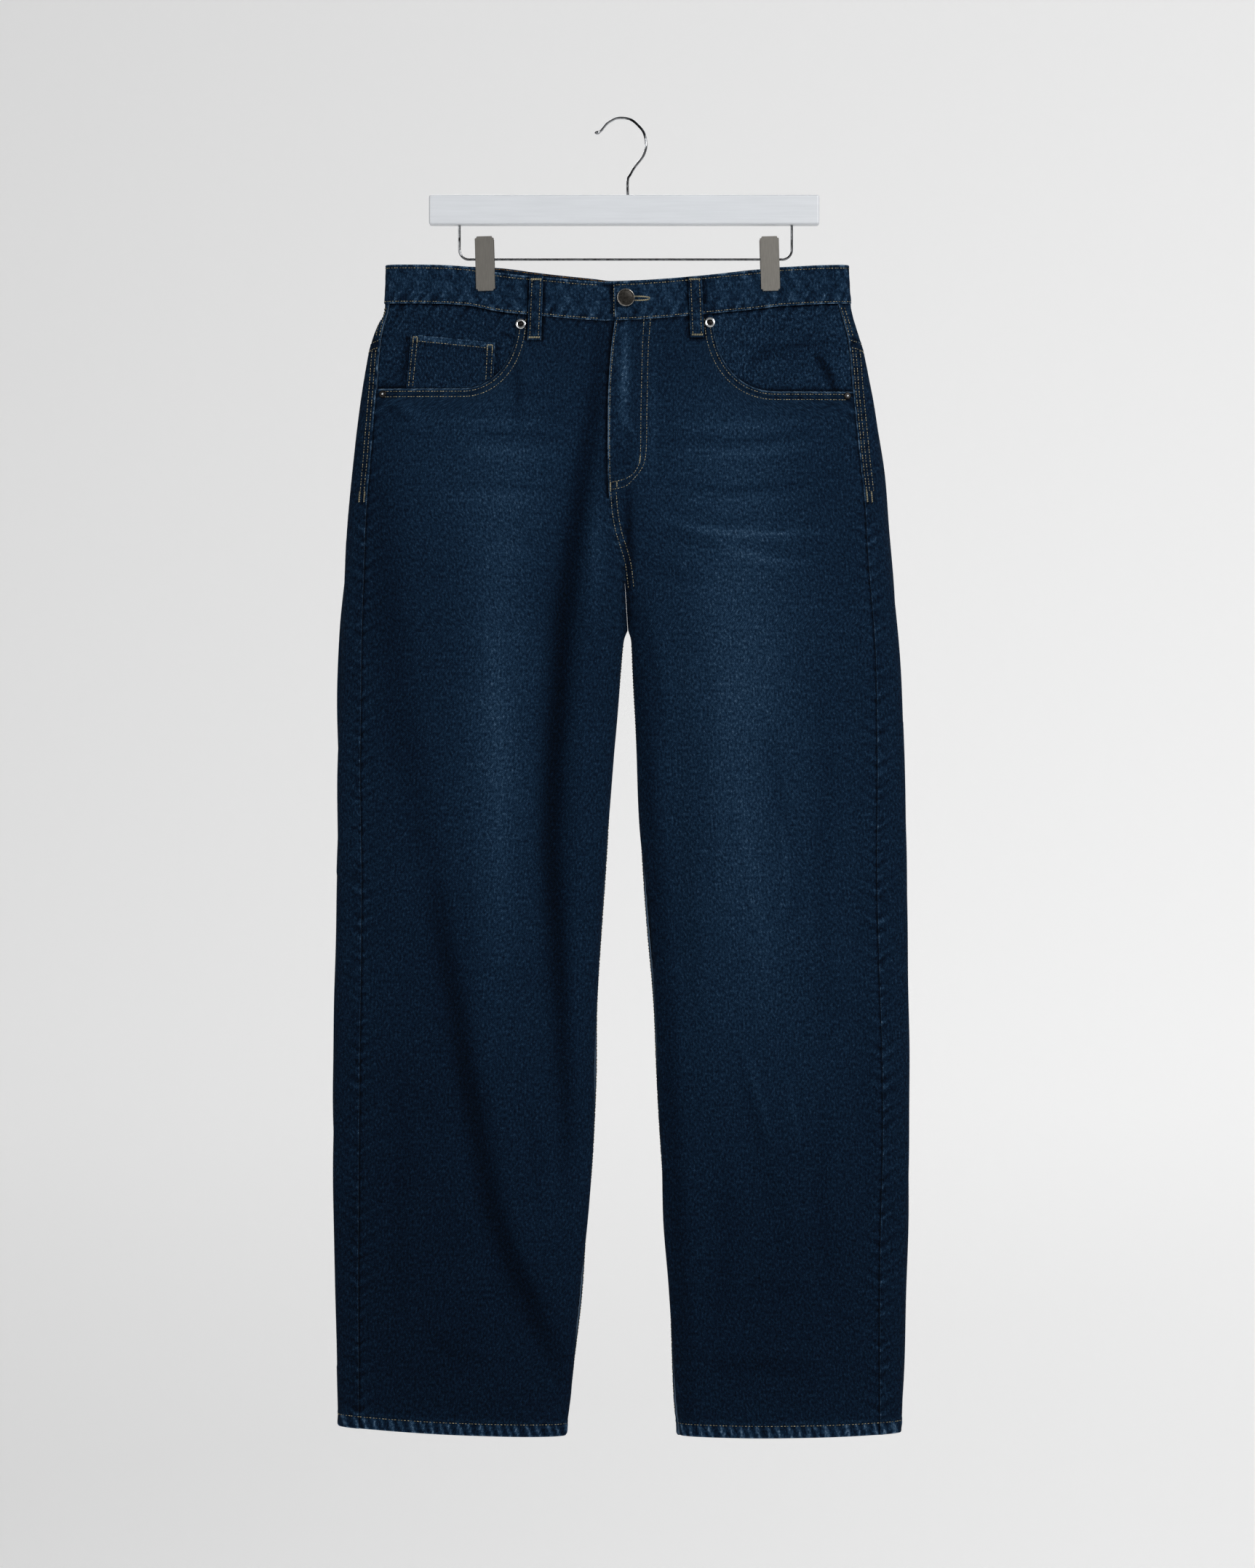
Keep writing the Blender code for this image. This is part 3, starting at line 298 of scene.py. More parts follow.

# Fades and painted shade of each face: across, drop, half width, half height, lean in millimetres
# across for each millimetre down, and how much paler, as real fading (darker where negative:
# towards the hems, and painted shade along the legs' edges, beside the fly and at the crotch)
FADE_AND_SHADE_PATCHES = {
    "front": (
        (-116, 560, 34, 240, -0.02, 0.17),
        (-120, 330, 84, 76, 0, 0.09),
        (-196, 250, 34, 70, 0, 0.03),
        (-228, 440, 22, 200, 0, -0.05),
        (-205, 1090, 110, 300, 0, -0.13),
        (-90, 1190, 90, 120, 0, -0.07),
        (-30, 640, 16, 260, -0.08, 0.02),
        (104, 470, 62, 180, 0.02, 0.19),
        (114, 740, 66, 190, 0.05, 0.12),
        (106, 300, 80, 54, 0, 0.06),
        (200, 640, 30, 300, 0, 0.02),
        (46, 950, 9, 300, 0.05, -0.12),
        (22, 620, 7, 160, 0.06, -0.12),
        (150, 1140, 150, 230, 0, -0.1),
        (-3, 246, 9, 60, 0, 0.05),
        (0.5, 238, 4.2, 46, -0.02, 0.26),
        (2, 312, 10, 22, 0, -0.13),
        (27.5, 275, 3.4, 56, 0, 0.08),
        (-27, 396, 9, 52, 0, 0.12),
        (8, 318, 16, 20, 0, 0.06),
    ),
    "back": (
        (-110, 400, 90, 80, 0, 0.14),
        (108, 400, 90, 80, 0, 0.14),
        (-124, 650, 46, 230, 0, 0.13),
        (120, 650, 46, 230, 0, 0.13),
        (0, 490, 12, 60, 0, -0.22),
        (-130, 1130, 140, 220, 0, -0.1),
        (140, 1130, 140, 220, 0, -0.1),
    ),
}

# Pinch of the cloth under the clips
CLIPS = {"right": -130.0, "left": 136.0}
PINCH = 3.7
PINCH_FLAT = 13.0
PINCH_SLOPE = 38.0
PINCH_FULL_DROP = 166.0
PINCH_END_DROP = 232.0

# Trim: across and drop
BUTTON = (1.4, 168.3, 8.35)
RIVETS = (
    ("rivet_pocket_right", -96.4, 192.6, 5.1),
    ("rivet_pocket_left", 79.9, 191.2, 5.1),
    ("rivet_side_right", -224.6, 258.6, 3.2),
    ("rivet_side_left", 207.6, 260.4, 3.2),
)

# Turned shapes of the trim: radius and height
BUTTON_CAP = ((0, 4.55), (2.4, 4.55), (4.6, 4.4), (6.2, 4.1), (6.9, 4.0), (7.35, 4.25),
              (7.85, 4.2), (8.2, 3.7), (8.35, 2.9), (8.3, 2.3), (7.8, 1.9), (3.4, 1.7),
              (3.4, 0.0), (0, 0.0))
RIVET_RING = ((2.3, 0.5), (2.6, 1.1), (3.1, 1.5), (3.7, 1.65), (4.4, 1.5), (4.9, 1.0),
              (5.1, 0.5), (5.1, 0.0), (2.3, 0.0), (2.3, 0.5))
RIVET_NUB = ((0, 2.0), (0.8, 1.95), (1.35, 1.7), (1.6, 1.2), (1.65, 0.5), (2.28, 0.4),
             (2.28, 0.1), (0, 0.1))
SMALL_DISC = ((0, 0.85), (1.3, 0.85), (2.2, 0.95), (3.1, 0.8), (3.5, 0.35), (3.5, 0.0), (0, 0.0))
SMALL_NUB = ((0, 1.8), (0.5, 1.75), (0.9, 1.5), (1.1, 1.1), (1.15, 0.7), (0, 0.7))

# Hanger
BAR_TOP_DROP = 71.4
BAR_HEIGHT = 27.9
SOCKET_DEPTH = 16.0
WIRE_RADIUS = 1.2
HOOK_ROUTE = (
    (3.3, 86.0), (3.3, 71.5), (3.3, 57.0), (5.5, 52.2), (9.1, 46.0), (13.3, 40.5),
    (17.5, 34.9), (20.2, 27.5), (20.2, 21.0), (19.4, 15.9), (17.2, 10.6), (13.3, 6.1),
    (9.1, 2.2), (4.8, -0.1), (-1.0, -1.2), (-6.9, -0.8), (-11.5, 1.2), (-16.0, 4.1),
    (-19.2, 7.7), (-21.5, 10.6), (-24.1, 12.3), (-27.7, 12.7),
)
# Painted reflection on the chrome wires, a dark streak at this angle round each wire, and its
# strength along the hook and the cross wire as rows of share of the length and strength
PAINTED_REFLECTION_ANGLE = math.radians(285)
PAINTED_REFLECTION_WIDTH = 1.0
HOOK_PAINTED_REFLECTIONS = ((0.0, 0.48), (0.16, 0.44), (0.24, 0.16), (0.38, 0.20), (0.46, 0.75),
                (0.58, 0.75), (0.68, 0.20), (0.76, 0.02), (0.90, 0.04), (0.97, 0.30), (1.0, 0.50))
CROSS_WIRE_PAINTED_REFLECTIONS = ((0.0, 0.35), (1.0, 0.35))
CROSS_WIRE_DROP = 131.2
CROSS_WIRE_ENDS = (-154.0, 156.6)
CROSS_WIRE_BEND = 9.0
PLATE_WIDTH = 17.8
PLATE_TOP_DROP = 110.2
PLATE_BOTTOM_DROP = 161.2
PLATE_LEAN = 1.6
PLATE_GAP = 0.35
PLATE_WALL = 1.0

# Photograph's place in front of the object, in metres
VIEW_ACROSS = 0.00306
VIEW_HEIGHT = -0.62155
VIEW_DISTANCE = 3.4616


def linear(colour):
    """Linear red, green, blue and alpha of a hex sRGB colour."""
    parts = []
    for start in (1, 3, 5):
        value = int(colour[start:start + 2], 16) / 255
        parts.append(value / 12.92 if value <= 0.04045 else ((value + 0.055) / 1.055) ** 2.4)
    return (*parts, 1.0)


def read_curve(rows, at, column=1):
    """Read a table at many places by a smooth curve through its rows."""
    knots = np.array([row[0] for row in rows], float)
    values = np.array([row[column] for row in rows], float)
    at = np.clip(np.asarray(at, float), knots[0], knots[-1])
    here = np.clip(np.searchsorted(knots, at, side="left") - 1, 0, len(knots) - 2)
    slopes = []
    for knot in (here, here + 1):
        before = np.maximum(knot - 1, 0)
        after = np.minimum(knot + 1, len(knots) - 1)
        slopes.append((values[after] - values[before]) / (knots[after] - knots[before]))
    span = knots[here + 1] - knots[here]
    t = (at - knots[here]) / span
    return ((2 * t**3 - 3 * t**2 + 1) * values[here] + (t**3 - 2 * t**2 + t) * span * slopes[0]
            + (3 * t**2 - 2 * t**3) * values[here + 1] + (t**3 - t**2) * span * slopes[1])


def ease(t):
    """Rise smoothly from 0 to 1 as t does."""
    t = np.clip(t, 0.0, 1.0)
    return t * t * (3 - 2 * t)


def mix(a, b, t):
    """Value a share t of the way from a to b."""
    return a + (b - a) * t


def bump(distance, width):
    """Rounded hump, 1 at no distance."""
    return np.exp(-(distance / width) ** 2)


def by_face(front, value, *places):
    """Value of a function of the face, at places that lie on the front or on the back."""
    return np.where(front, value("front", *places), value("back", *places))


def unit(vectors):
    """Vectors of length 1 in the same directions."""
    return vectors / np.maximum(np.linalg.norm(vectors, axis=-1, keepdims=True), 1e-9)


def window(drop, rise, fall):
    """Share that rises smoothly from 0 to 1 at one drop and falls back at another."""
    return ease((drop - rise) / WINDOW_SLOPE) * (1 - ease((drop - fall) / WINDOW_SLOPE))


def sign_of(side):
    """Direction across in which a half lies: the wearer's left is at +X."""
    return 1 if side == "left" else -1


def side_curve(rows, side, drop):
    """Place across of one side's line, from a table with the right side's line first."""
    return read_curve(rows, drop, 2 if side == "left" else 1)


def inner_edge(face, side, drop):
    """Centre line above the crotch, inner edge of the leg below it."""
    leg = side_curve(INSEAM, side, drop)
    rise = read_curve(CENTRE[face], drop)
    return np.where(np.asarray(drop) > CROTCH_DROP, leg, rise) + sign_of(side) * SEAM / 2


def arch(face, drop):
    """Share of the full depth that is left at the centre line: none at the crotch."""
    start = ARCH_DROP[face]
    t = np.clip((np.asarray(drop, float) - start) / (CROTCH_DROP - start), 0, 1)
    return (1 - t**2) ** 0.75


def line_distance(across, drop, line):
    """Distance of each point from a line, signed by its side, and the share along the line."""
    signed = np.full(across.shape, 1e9)
    share = np.zeros(across.shape)
    lengths = [math.dist(a, b) for a, b in zip(line, line[1:])]
    run = 0.0
    for (ax, ay), (bx, by), length in zip(line, line[1:], lengths):
        ux, uy = (bx - ax) / length, (by - ay) / length
        along = np.clip((across - ax) * ux + (drop - ay) * uy, 0, length)
        dx, dy = across - ax - along * ux, drop - ay - along * uy
        away = np.hypot(dx, dy)
        closer = away < np.abs(signed)
        signed = np.where(closer, np.copysign(away, dx * uy - dy * ux), signed)
        share = np.where(closer, (run + along) / sum(lengths), share)
        run += length
    return signed, share


def crease_parts(face, across, drop):
    """Depth of the creases, how much paler their crests are, and how much painted shade darkens
    their valleys.
    """
    depth = np.zeros(across.shape)
    paler = np.zeros(across.shape)
    for width, deep, worn, *places in CREASES[face]:
        xs, ys = places[::2], places[1::2]
        reach = width * 4
        near = ((across > min(xs) - reach) & (across < max(xs) + reach)
                & (drop > min(ys) - reach) & (drop < max(ys) + reach))
        if not near.any():
            continue
        signed, share = line_distance(across[near], drop[near], list(zip(xs, ys)))
        taper = np.clip(np.sin(math.pi * np.clip(share, 0.0, 1.0)), 0, 1) ** 0.7
        valley = bump(signed, width) - 0.4 * bump(signed - 2 * width, 1.3 * width)
        depth[near] += deep * taper * valley
        paler[near] += worn * taper * bump(signed, width * 1.1)
    return depth, paler


def undulation(face, across, drop):
    """Slow uneven swells of hanging cloth, from waves of fixed lengths and directions."""
    shift = 0.0 if face == "front" else 2.7
    waves = ((0.041, 0.009, 0.5, 0.55), (0.019, -0.016, 1.9, 0.8), (0.066, 0.021, 3.1, 0.25),
             (-0.028, 0.031, 4.2, 0.35), (0.11, 0.013, 5.5, 0.12), (0.013, 0.052, 0.7, 0.22))
    total = np.zeros(across.shape)
    for kx, ky, phase, size in waves:
        total += size * np.sin(kx * across + ky * drop + phase + shift
                               + 0.6 * np.sin(0.013 * drop + phase))
    return total * ease((drop - 215) / 160)


def relief(face, across, drop):
    """Folds, creases, swells and clip pinches: how far the cloth lies inside its plain form."""
    depth = np.zeros(across.shape)
    for half_width, fold_depth, line in FOLDS[face]:
        away = np.abs(across - read_curve(line, drop)) / half_width
        share = np.maximum(read_curve(line, drop, 2), 0.0)
        inside = (away < 1) & (drop > line[0][0]) & (drop < line[-1][0])
        depth += np.where(inside, fold_depth * share * (0.5 + 0.5 * np.cos(np.pi * away)), 0)
    below = ease((drop - PINCH_FULL_DROP) / (PINCH_END_DROP - PINCH_FULL_DROP))
    for centre in CLIPS.values():
        away = ease((np.abs(across - centre) - PINCH_FLAT) / PINCH_SLOPE)
        depth += PINCH * (1 - below) * (1 - away)
    depth += crease_parts(face, across, drop)[0] + undulation(face, across, drop)
    centre = read_curve(CENTRE[face], drop)
    return depth * (1 - window(drop, 330, 520) * (1 - ease((np.abs(across - centre) - 3) / 14)))


def skin(side, turn, drop, lift=0.0):
    """Points of the cloth's outer face in millimetres, moved out by lift, and their normals."""
    turn, drop, lift = np.broadcast_arrays(np.asarray(turn, float), np.asarray(drop, float),
                                           np.asarray(lift, float))
    front = turn <= 90
    facing = np.where(front, -1.0, 1.0)
    outer = side_curve(OUTLINE, side, drop)
    inner = by_face(front, inner_edge, side, drop)
    half = np.abs(outer - inner) / 2
    reach = np.sin(np.radians(turn))
    across = (outer + inner) / 2 + sign_of(side) * half * reach
    depth = np.where(front, read_curve(DEPTH, drop, 1), read_curve(DEPTH, drop, 2))
    flatness = read_curve(DEPTH, drop, 3)
    rise = by_face(front, arch, drop)
    share = np.where(reach > 0, 1.0, 1 - rise**2)
    height = np.sqrt(np.maximum(1 - share * np.abs(reach) ** flatness, 0.0))
    slope = share * flatness / 2 * np.copysign(np.abs(reach) ** (flatness - 1), reach)
    out = unit(np.stack([sign_of(side) * depth * slope, facing * half * height,
                         np.zeros(turn.shape)], axis=-1))
    folds = by_face(front, relief, across, drop)
    point = np.stack([across, facing * depth * height, -drop], axis=-1)
    return point + out * (lift - folds)[..., None], out


def turn_at(side, face, across, drop):
    """Turn at which the section of one side reaches a place across."""
    outer = side_curve(OUTLINE, side, drop)
    inner = inner_edge(face, side, drop)
    reach = (across - (outer + inner) / 2) / np.abs(outer - inner) * 2 * sign_of(side)
    turn = np.degrees(np.arcsin(np.clip(reach, -1.0, 1.0)))
    return turn if face == "front" else 180 - turn


def on_face(face, across, drop, lift=0.0):
    """Points and normals at places across on the front or the back, over both halves; the lift
    may be a function of the place."""
    if callable(lift):
        lift = lift(across, drop)
    across, drop, lift = np.broadcast_arrays(np.asarray(across, float), np.asarray(drop, float),
                                             np.asarray(lift, float))
    is_left = across > inner_edge(face, "left", drop)
    left, left_out = skin("left", turn_at("left", face, across, drop), drop, lift)
    right, right_out = skin("right", turn_at("right", face, across, drop), drop, lift)
    pick = is_left[..., None]
    return np.where(pick, left, right), np.where(pick, left_out, right_out)


def band_top(face, across):
    """Drop of the waistband's upper edge."""
    return read_curve(BAND_TOP[face], across)


def waist_seam(face, across):
    """Drop of the seam under the waistband."""
    return band_top(face, across) + BAND_HEIGHT


def seam_across(side, drop):
    """Place across of the side seam."""
    return side_curve(SIDE_SEAM, side, drop)


def hem_drop(across):
    """Drop of the hem."""
    return read_curve(HEM, across)


def mouth_curve(side, share, tuck=0.0):
    """Points on the pocket mouth's edge: share 0 at the waist seam, 1 at the side seam."""
    corner, width, bottom = MOUTH[side]
    towards = sign_of(side)
    corner = corner - towards * tuck
    bottom = bottom + tuck
    width = width + tuck
    top = waist_seam("front", corner)
    end = seam_across(side, bottom) - towards * SEAM / 2
    straight = abs(end - corner) - width
    angle = np.clip(share / MOUTH_ROUND_SHARE, 0, 1) * math.pi / 2
    over = 1 - np.maximum(np.cos(angle), 0) ** (2 / MOUTH_POWER)
    down = np.sin(angle) ** (2 / MOUTH_POWER)
    along = np.clip((share - MOUTH_ROUND_SHARE) / (1 - MOUTH_ROUND_SHARE), 0, 1)
    return corner + towards * (width * over + straight * along), mix(top, bottom, down)


def mouth_drop(side, across):
    """Drop of the pocket mouth's edge under a place across."""
    corner, width, bottom = MOUTH[side]
    top = waist_seam("front", corner)
    over = 1 - np.minimum((across - corner) * sign_of(side) / width, 1.0)
    return mix(top, bottom, (1 - over**MOUTH_POWER) ** (1 / MOUTH_POWER))


def fly_lift(across, drop):
    """How far the left front stands out where it laps over the right one."""
    edge = read_curve(CENTRE["front"], drop)
    along = 1 - ease((across - edge - FLY_WIDTH) / FLY_SLOPE)
    return FLY_LIFT * along * (1 - ease((drop - FLY_END) / FLY_FADE))


def band_lift(across):
    """How far the waistband's lapped end stands out over the end beneath it."""
    return (BAND_WALL + LAYER_GAP) * (1 - ease((across - BAND_LAP_TO - 1) / BAND_LAP_SLOPE))


def yoke_drop(share):
    """Drop of the yoke's lower seam: share 0 at the side seam, 1 at the centre back."""
    return mix(YOKE_SIDE_DROP, YOKE_CENTRE_DROP, share**YOKE_CURVE)


def rear_turn(side, share, drop):
    """Turn of a column of the rear pieces, from the side seam round to the centre back."""
    start = turn_at(side, "front", seam_across(side, drop) + sign_of(side) * SEAM / 2, drop)
    return mix(start, LAST_TURN, share)


def graded(length, edge, fine, coarse):
    """Positions from 0 to a length, fine within an edge at both ends and coarse between."""
    near = np.arange(0, edge, fine)
    count = max(int(round((length - 2 * edge) / coarse)), 1)
    middle = np.linspace(edge, length - edge, count, endpoint=False)
    far = length - np.arange(0, edge + fine / 2, fine)[::-1]
    return np.concatenate([near, middle, far])


def share_columns(side, turns_from, turns_to, drop, edge, fine, coarse):
    """Shares of a panel's width whose columns lie at graded distances along the cloth."""
    shares = np.linspace(0, 1, 600)
    points, _ = skin(side, mix(turns_from, turns_to, shares), drop)
    run = run_along(points)
    return np.interp(graded(run[-1], edge, fine, coarse), run, shares)


def run_along(points):
    """Distance of each point from the first along a line of points."""
    return np.append(0, np.cumsum(np.linalg.norm(np.diff(points, axis=0), axis=1)))


def run_lengths(points, axis):
    """Distance along the cloth from the first and to the last column or row of a grid."""
    step = np.linalg.norm(np.diff(points, axis=axis), axis=-1)
    zero = np.zeros_like(np.take(step, [0], axis=axis))
    run = np.concatenate([zero, np.cumsum(step, axis=axis)], axis=axis)
    return run, np.take(run, [-1], axis=axis) - run


def edge_runs(points):
    """Distances along the cloth from a grid's first and last columns and rows."""
    return (*run_lengths(points, 0), *run_lengths(points, 1))


def pucker(along, away, size=0.3, reach=7.0):
    """Small uneven swells that a row of stitches draws slantwise into the cloth beside it."""
    along = along + 0.6 * np.minimum(away, 30)
    wave = (np.sin(along * 0.62 + 0.8 * np.sin(along * 0.17)) + 0.7 * np.sin(along * 0.41 + 1.3)
            + 0.5 * np.sin(along * 0.93 + 2.1))
    return size * wave / 1.6 * np.exp(-away / reach)


def sewn_edge(away, rows, piping=0.5):
    """Rounded turned edge with a groove at each row of stitches and a swell between them."""
    shape = piping * bump(away - 1.1, 0.9) - 0.55 * bump(away, 0.7)
    for row in rows:
        shape = shape - 0.32 * bump(away - row, 0.7)
    if len(rows) > 1:
        shape = shape + 0.25 * bump(away - (rows[0] + rows[-1]) / 2, (rows[-1] - rows[0]) / 3)
    return shape


def row_shade(away, rows):
    """Painted shade in the groove of each stitch row, as a negative value added to the
    cloth's fading.
    """
    return -0.15 * sum(bump(away - row, 1.0) for row in rows)


def loop_shade(face, across, drop):
    """Painted shadow beside and below the belt loops' edges, as a negative value added to the
    cloth's fading.
    """
    shade = np.zeros(np.broadcast(across, drop).shape)
    for _, loop_face, top_across, low_across, top, bottom in LOOPS:
        if loop_face == face:
            middle = mix(top_across, low_across, (drop - top) / (bottom - top))
            beside = np.abs(across - middle) - LOOP_WIDTH / 2 - 0.6
            below = np.where(np.abs(across - middle) < LOOP_WIDTH / 2, drop - bottom - 0.6, 9.0)
            shade -= 0.46 * bump(beside, 1.9) * (drop < bottom + 0.5) * (drop > top - 1)
            shade -= 0.36 * bump(below, 1.6)
    return shade


def fade_and_shade_at(face, across, drop):
    """How much paler the cloth is worn at each place, from the fades and creases; its darker
    places include painted shade in the creases' valleys, along the legs' edges, beside the fly and
    at the crotch.
    """
    total = crease_parts(face, across, drop)[1]
    for centre, middle, half_width, half_height, lean, amount in FADE_AND_SHADE_PATCHES[face]:
        x = (across - centre - lean * (drop - middle)) / half_width
        y = (drop - middle) / half_height
        total = total + amount * np.exp(-(x**2 + y**2))
    return total


def cloth_shell(name, outer, inner, weave, fading_and_painted_shade, rim, inside=1.0):
    """Closed shell between two grids of points, with its weave's coordinates, fading and painted
    shade, distance from the rim and, on its inner face, inside value on its points."""
    columns, rows = outer.shape[:2]
    count = columns * rows
    index = np.arange(count).reshape(columns, rows)
    a, b = index[:-1, :-1].ravel(), index[1:, :-1].ravel()
    c, d = index[1:, 1:].ravel(), index[:-1, 1:].ravel()
    faces = [np.stack([a, b, c, d], 1), np.stack([a, d, c, b], 1) + count]
    for line, flip in ((index[:, 0], True), (index[:, -1], False), (index[0], False),
                       (index[-1], True)):
        first, second = line[:-1], line[1:]
        strip = np.stack([first, second, second + count, first + count], 1)
        faces.append(strip[:, ::-1] if flip else strip)
    faces = np.concatenate(faces)
    points = np.concatenate([outer.reshape(-1, 3), inner.reshape(-1, 3)]) * MM
    if signed_volume(points, faces) < 0:
        faces = faces[:, ::-1]
    thing = mesh_object(name, points, faces, sharp_angle=CLOTH_SHARP)
    flat = np.pad(weave.reshape(-1, 2), ((0, 0), (0, 1)))
    give_values(thing, "weave", np.tile(flat, (2, 1)))
    give_values(thing, "fading_and_painted_shade", np.tile(fading_and_painted_shade.ravel(), 2))
    give_values(thing, "rim", np.append(rim.ravel(), np.full(count, FAR)))
    give_values(thing, "inside", np.repeat([0.0, inside], count))
    return thing


def signed_volume(points, faces):
    """Volume inside a closed mesh of quads, negative where its faces look inwards."""
    a, b, c, d = (points[faces[:, i]] for i in range(4))
    return float((np.cross(a, b) * c).sum() + (np.cross(a, c) * d).sum()) / 6


def link_object(name, data, sharp_angle=None):
    """Object with a smoothly shaded mesh, sharp only where its faces meet at a larger angle."""
    data.shade_smooth()
    if sharp_angle:
        data.set_sharp_from_angle(angle=math.radians(sharp_angle))
    thing = bpy.data.objects.new(name, data)
    bpy.context.scene.collection.objects.link(thing)
    return thing


def mesh_object(name, points, *faces, sharp_angle=None):
    """Object from points in metres and arrays of faces, each array with one size of face."""
    mesh = bpy.data.meshes.new(name)
    corners = np.concatenate([group.ravel() for group in faces]).astype(np.int32)
    sizes = np.concatenate([np.full(len(group), group.shape[1]) for group in faces])
    mesh.vertices.add(len(points))
    mesh.vertices.foreach_set("co", np.asarray(points, np.float32).ravel())
    mesh.loops.add(len(corners))
    mesh.loops.foreach_set("vertex_index", corners)
    mesh.polygons.add(len(sizes))
    mesh.polygons.foreach_set("loop_start", (np.cumsum(sizes) - sizes).astype(np.int32))
    mesh.update(calc_edges=True)
    mesh.validate()
    return link_object(name, mesh, sharp_angle)


def give_values(thing, name, values):
    """Store numbers or vectors on a mesh's points for its material to read."""
    values = np.asarray(values, np.float32)
    kind = "FLOAT_VECTOR" if values.ndim > 1 else "FLOAT"
    layer = thing.data.attributes.new(name, kind, "POINT")
    layer.data.foreach_set("vector" if values.ndim > 1 else "value", values.ravel())


def dress(thing, material, slot, *nodes):
    """Give a piece its material, and let it ride and stand for its solids; its slot is not used.
    """
    thing.data.materials.clear()
    thing.data.materials.append(material)
    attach(thing, "root")
    if nodes:
        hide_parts(*nodes)
    return thing


def cloth_piece(cloth, name, material, slot="denim"):
    """Shell of cloth that stands for the solid of its name."""
    thing = dress(cloth_shell(name + "_cloth", *cloth), material, slot, name)


def front_grid(side, fine):
    """Turns and drops of a front panel's grid, and which columns end at the pocket mouth."""
    join = turn_at(side, "front", seam_across(side, MOUTH_JOIN_DROP), MOUTH_JOIN_DROP)
    shares = share_columns(side, FIRST_TURN, join, 560.0, 12.0, 1.3 * fine, 2.9 * fine)
    start = inner_edge("front", side, waist_seam("front", 0.0))
    waist = mix(start, MOUTH[side][0], np.clip(shares / WAIST_SHARE, 0, 1) ** 1.15)
    mouth = mouth_curve(side, np.clip((shares - WAIST_SHARE) / (1 - WAIST_SHARE), 0, 1))
    in_mouth = shares > WAIST_SHARE
    top_across, top_drop = np.where(in_mouth, mouth, (
        waist, waist_seam("front", waist) + SEAM / 2))[..., None]
    turns = mix(FIRST_TURN, join, shares)[:, None]
    steps = np.append(np.linspace(0, 0.36, 11), np.linspace(0.36, 1, 22)[1:-1])
    upper_drop = mix(top_drop, MOUTH_JOIN_DROP, steps)
    upper_across = mix(top_across, skin(side, turns, MOUTH_JOIN_DROP)[0][..., 0], steps)
    half_gap = sign_of(side) * SEAM / 2
    upper_across[-1] = seam_across(side, upper_drop[-1]) - half_gap
    upper_across[0] = inner_edge("front", side, upper_drop[0])
    bottom = hem_drop(skin(side, turns, 1200.0)[0][..., 0])
    lower = mix(MOUTH_JOIN_DROP, bottom - 20.0, np.linspace(0, 1, int(920 / (3.2 * fine))))
    low = np.append(lower, hem_rows(bottom, fine), axis=1)
    drop = np.append(upper_drop, low, axis=1)
    end = turn_at(side, "front", seam_across(side, low) - half_gap, low)
    turn = np.append(turn_at(side, "front", upper_across, upper_drop),
                     mix(FIRST_TURN, end, shares[:, None]), axis=1)
    return turn, drop, in_mouth[:, None]


def front_panel(side, fine):
    """Front of one leg, from the centre line or inseam to the side seam."""
    turn, drop, in_mouth = front_grid(side, fine)
    base, _ = skin(side, turn, drop)
    from_first, to_last, from_top, to_hem = edge_runs(base)
    across = base[..., 0]
    along = run_lengths(base[:, :1], 0)[0]
    mouth_edge = np.where(in_mouth & (from_top < 30), from_top, FAR)
    waist_edge = np.where(in_mouth, FAR, from_top)
    swell = (pucker(along, mouth_edge, 0.22) + pucker(along, waist_edge, 0.35, 9.0)
             + pucker(drop, to_last, 0.3, 9.0)
             + pucker(drop, from_first, 0.25, 6.0) * (drop < CROTCH_DROP))
    lift = sewn_edge(mouth_edge, MOUTH_ROWS) + swell - 0.3 * bump(to_last, 1.0)
    # fading, less painted shade beside the belt loops and in the stitch grooves, and painted
    # shadow lines along the side seam and under the waist seam
    worn = (fade_and_shade_at("front", across, drop) + loop_shade("front", across, drop)
            + row_shade(mouth_edge, MOUTH_ROWS) + 0.24 * bump(mouth_edge - 1.0, 1.0)
            + PALE_CRESTS * swell - 0.34 * bump(to_last, 1.5) - 0.26 * bump(waist_edge, 1.7))
    if side == "left":
        fly = np.where(drop < FLY_END + 60, from_first, FAR)
        lift += fly_lift(across, drop) + sewn_edge(fly, (1.9,), 0.35)
        rubbed = ease((drop - 205) / 20) * (1 - ease((drop - 290) / 50))
        worn += 0.42 * rubbed * bump(from_first - 1.0, 1.1)
    lift, worn = roped_hem(lift, worn, across, to_hem)
    outer, inner = leg_shell(side, turn, drop, lift, from_first, to_hem)
    rim = np.minimum(mouth_edge, to_hem)
    if side == "left":
        rim = np.minimum(rim, np.where(drop < FLY_END, from_first, from_first + 0.9))
    else:
        # painted shadow along the right front's edge under the lapped fly
        worn -= 0.5 * bump(from_first, 2.4) * (drop < FLY_END)
        under = drop[0] <= UNDERLAP_END
        lap_across = read_curve(CENTRE["front"], drop[0]) + UNDERLAP
        lap, lap_out = on_face("front", lap_across, drop[0], -0.2)
        outer[0][under] = lap[under]
        inner[0][under] = (lap - lap_out * WALL)[under]
    return outer, inner, weave_of(sign_of(side) * from_first, drop), worn, rim


def leg_shell(side, turn, drop, lift, from_centre, to_hem):
    """Outer and inner face of a leg's cloth, plain at the crotch and thicker at the hem."""
    lift = lift * (1 - window(drop, 300, 560) * (1 - ease(from_centre / 9)))
    outer, out = skin(side, turn, drop, lift)
    thick = mix(WALL, HEM_WALL, ease((HEM_HEIGHT + 1.5 - to_hem) / 2.0))
    return outer, outer - out * thick[..., None]


def hem_rows(bottom, fine):
    """Fine rows over the hem."""
    steps = np.linspace(0, 1, int(20 / (1.3 * fine)) + 1)[None, 1:]
    return mix(bottom - 20.0, bottom, steps)


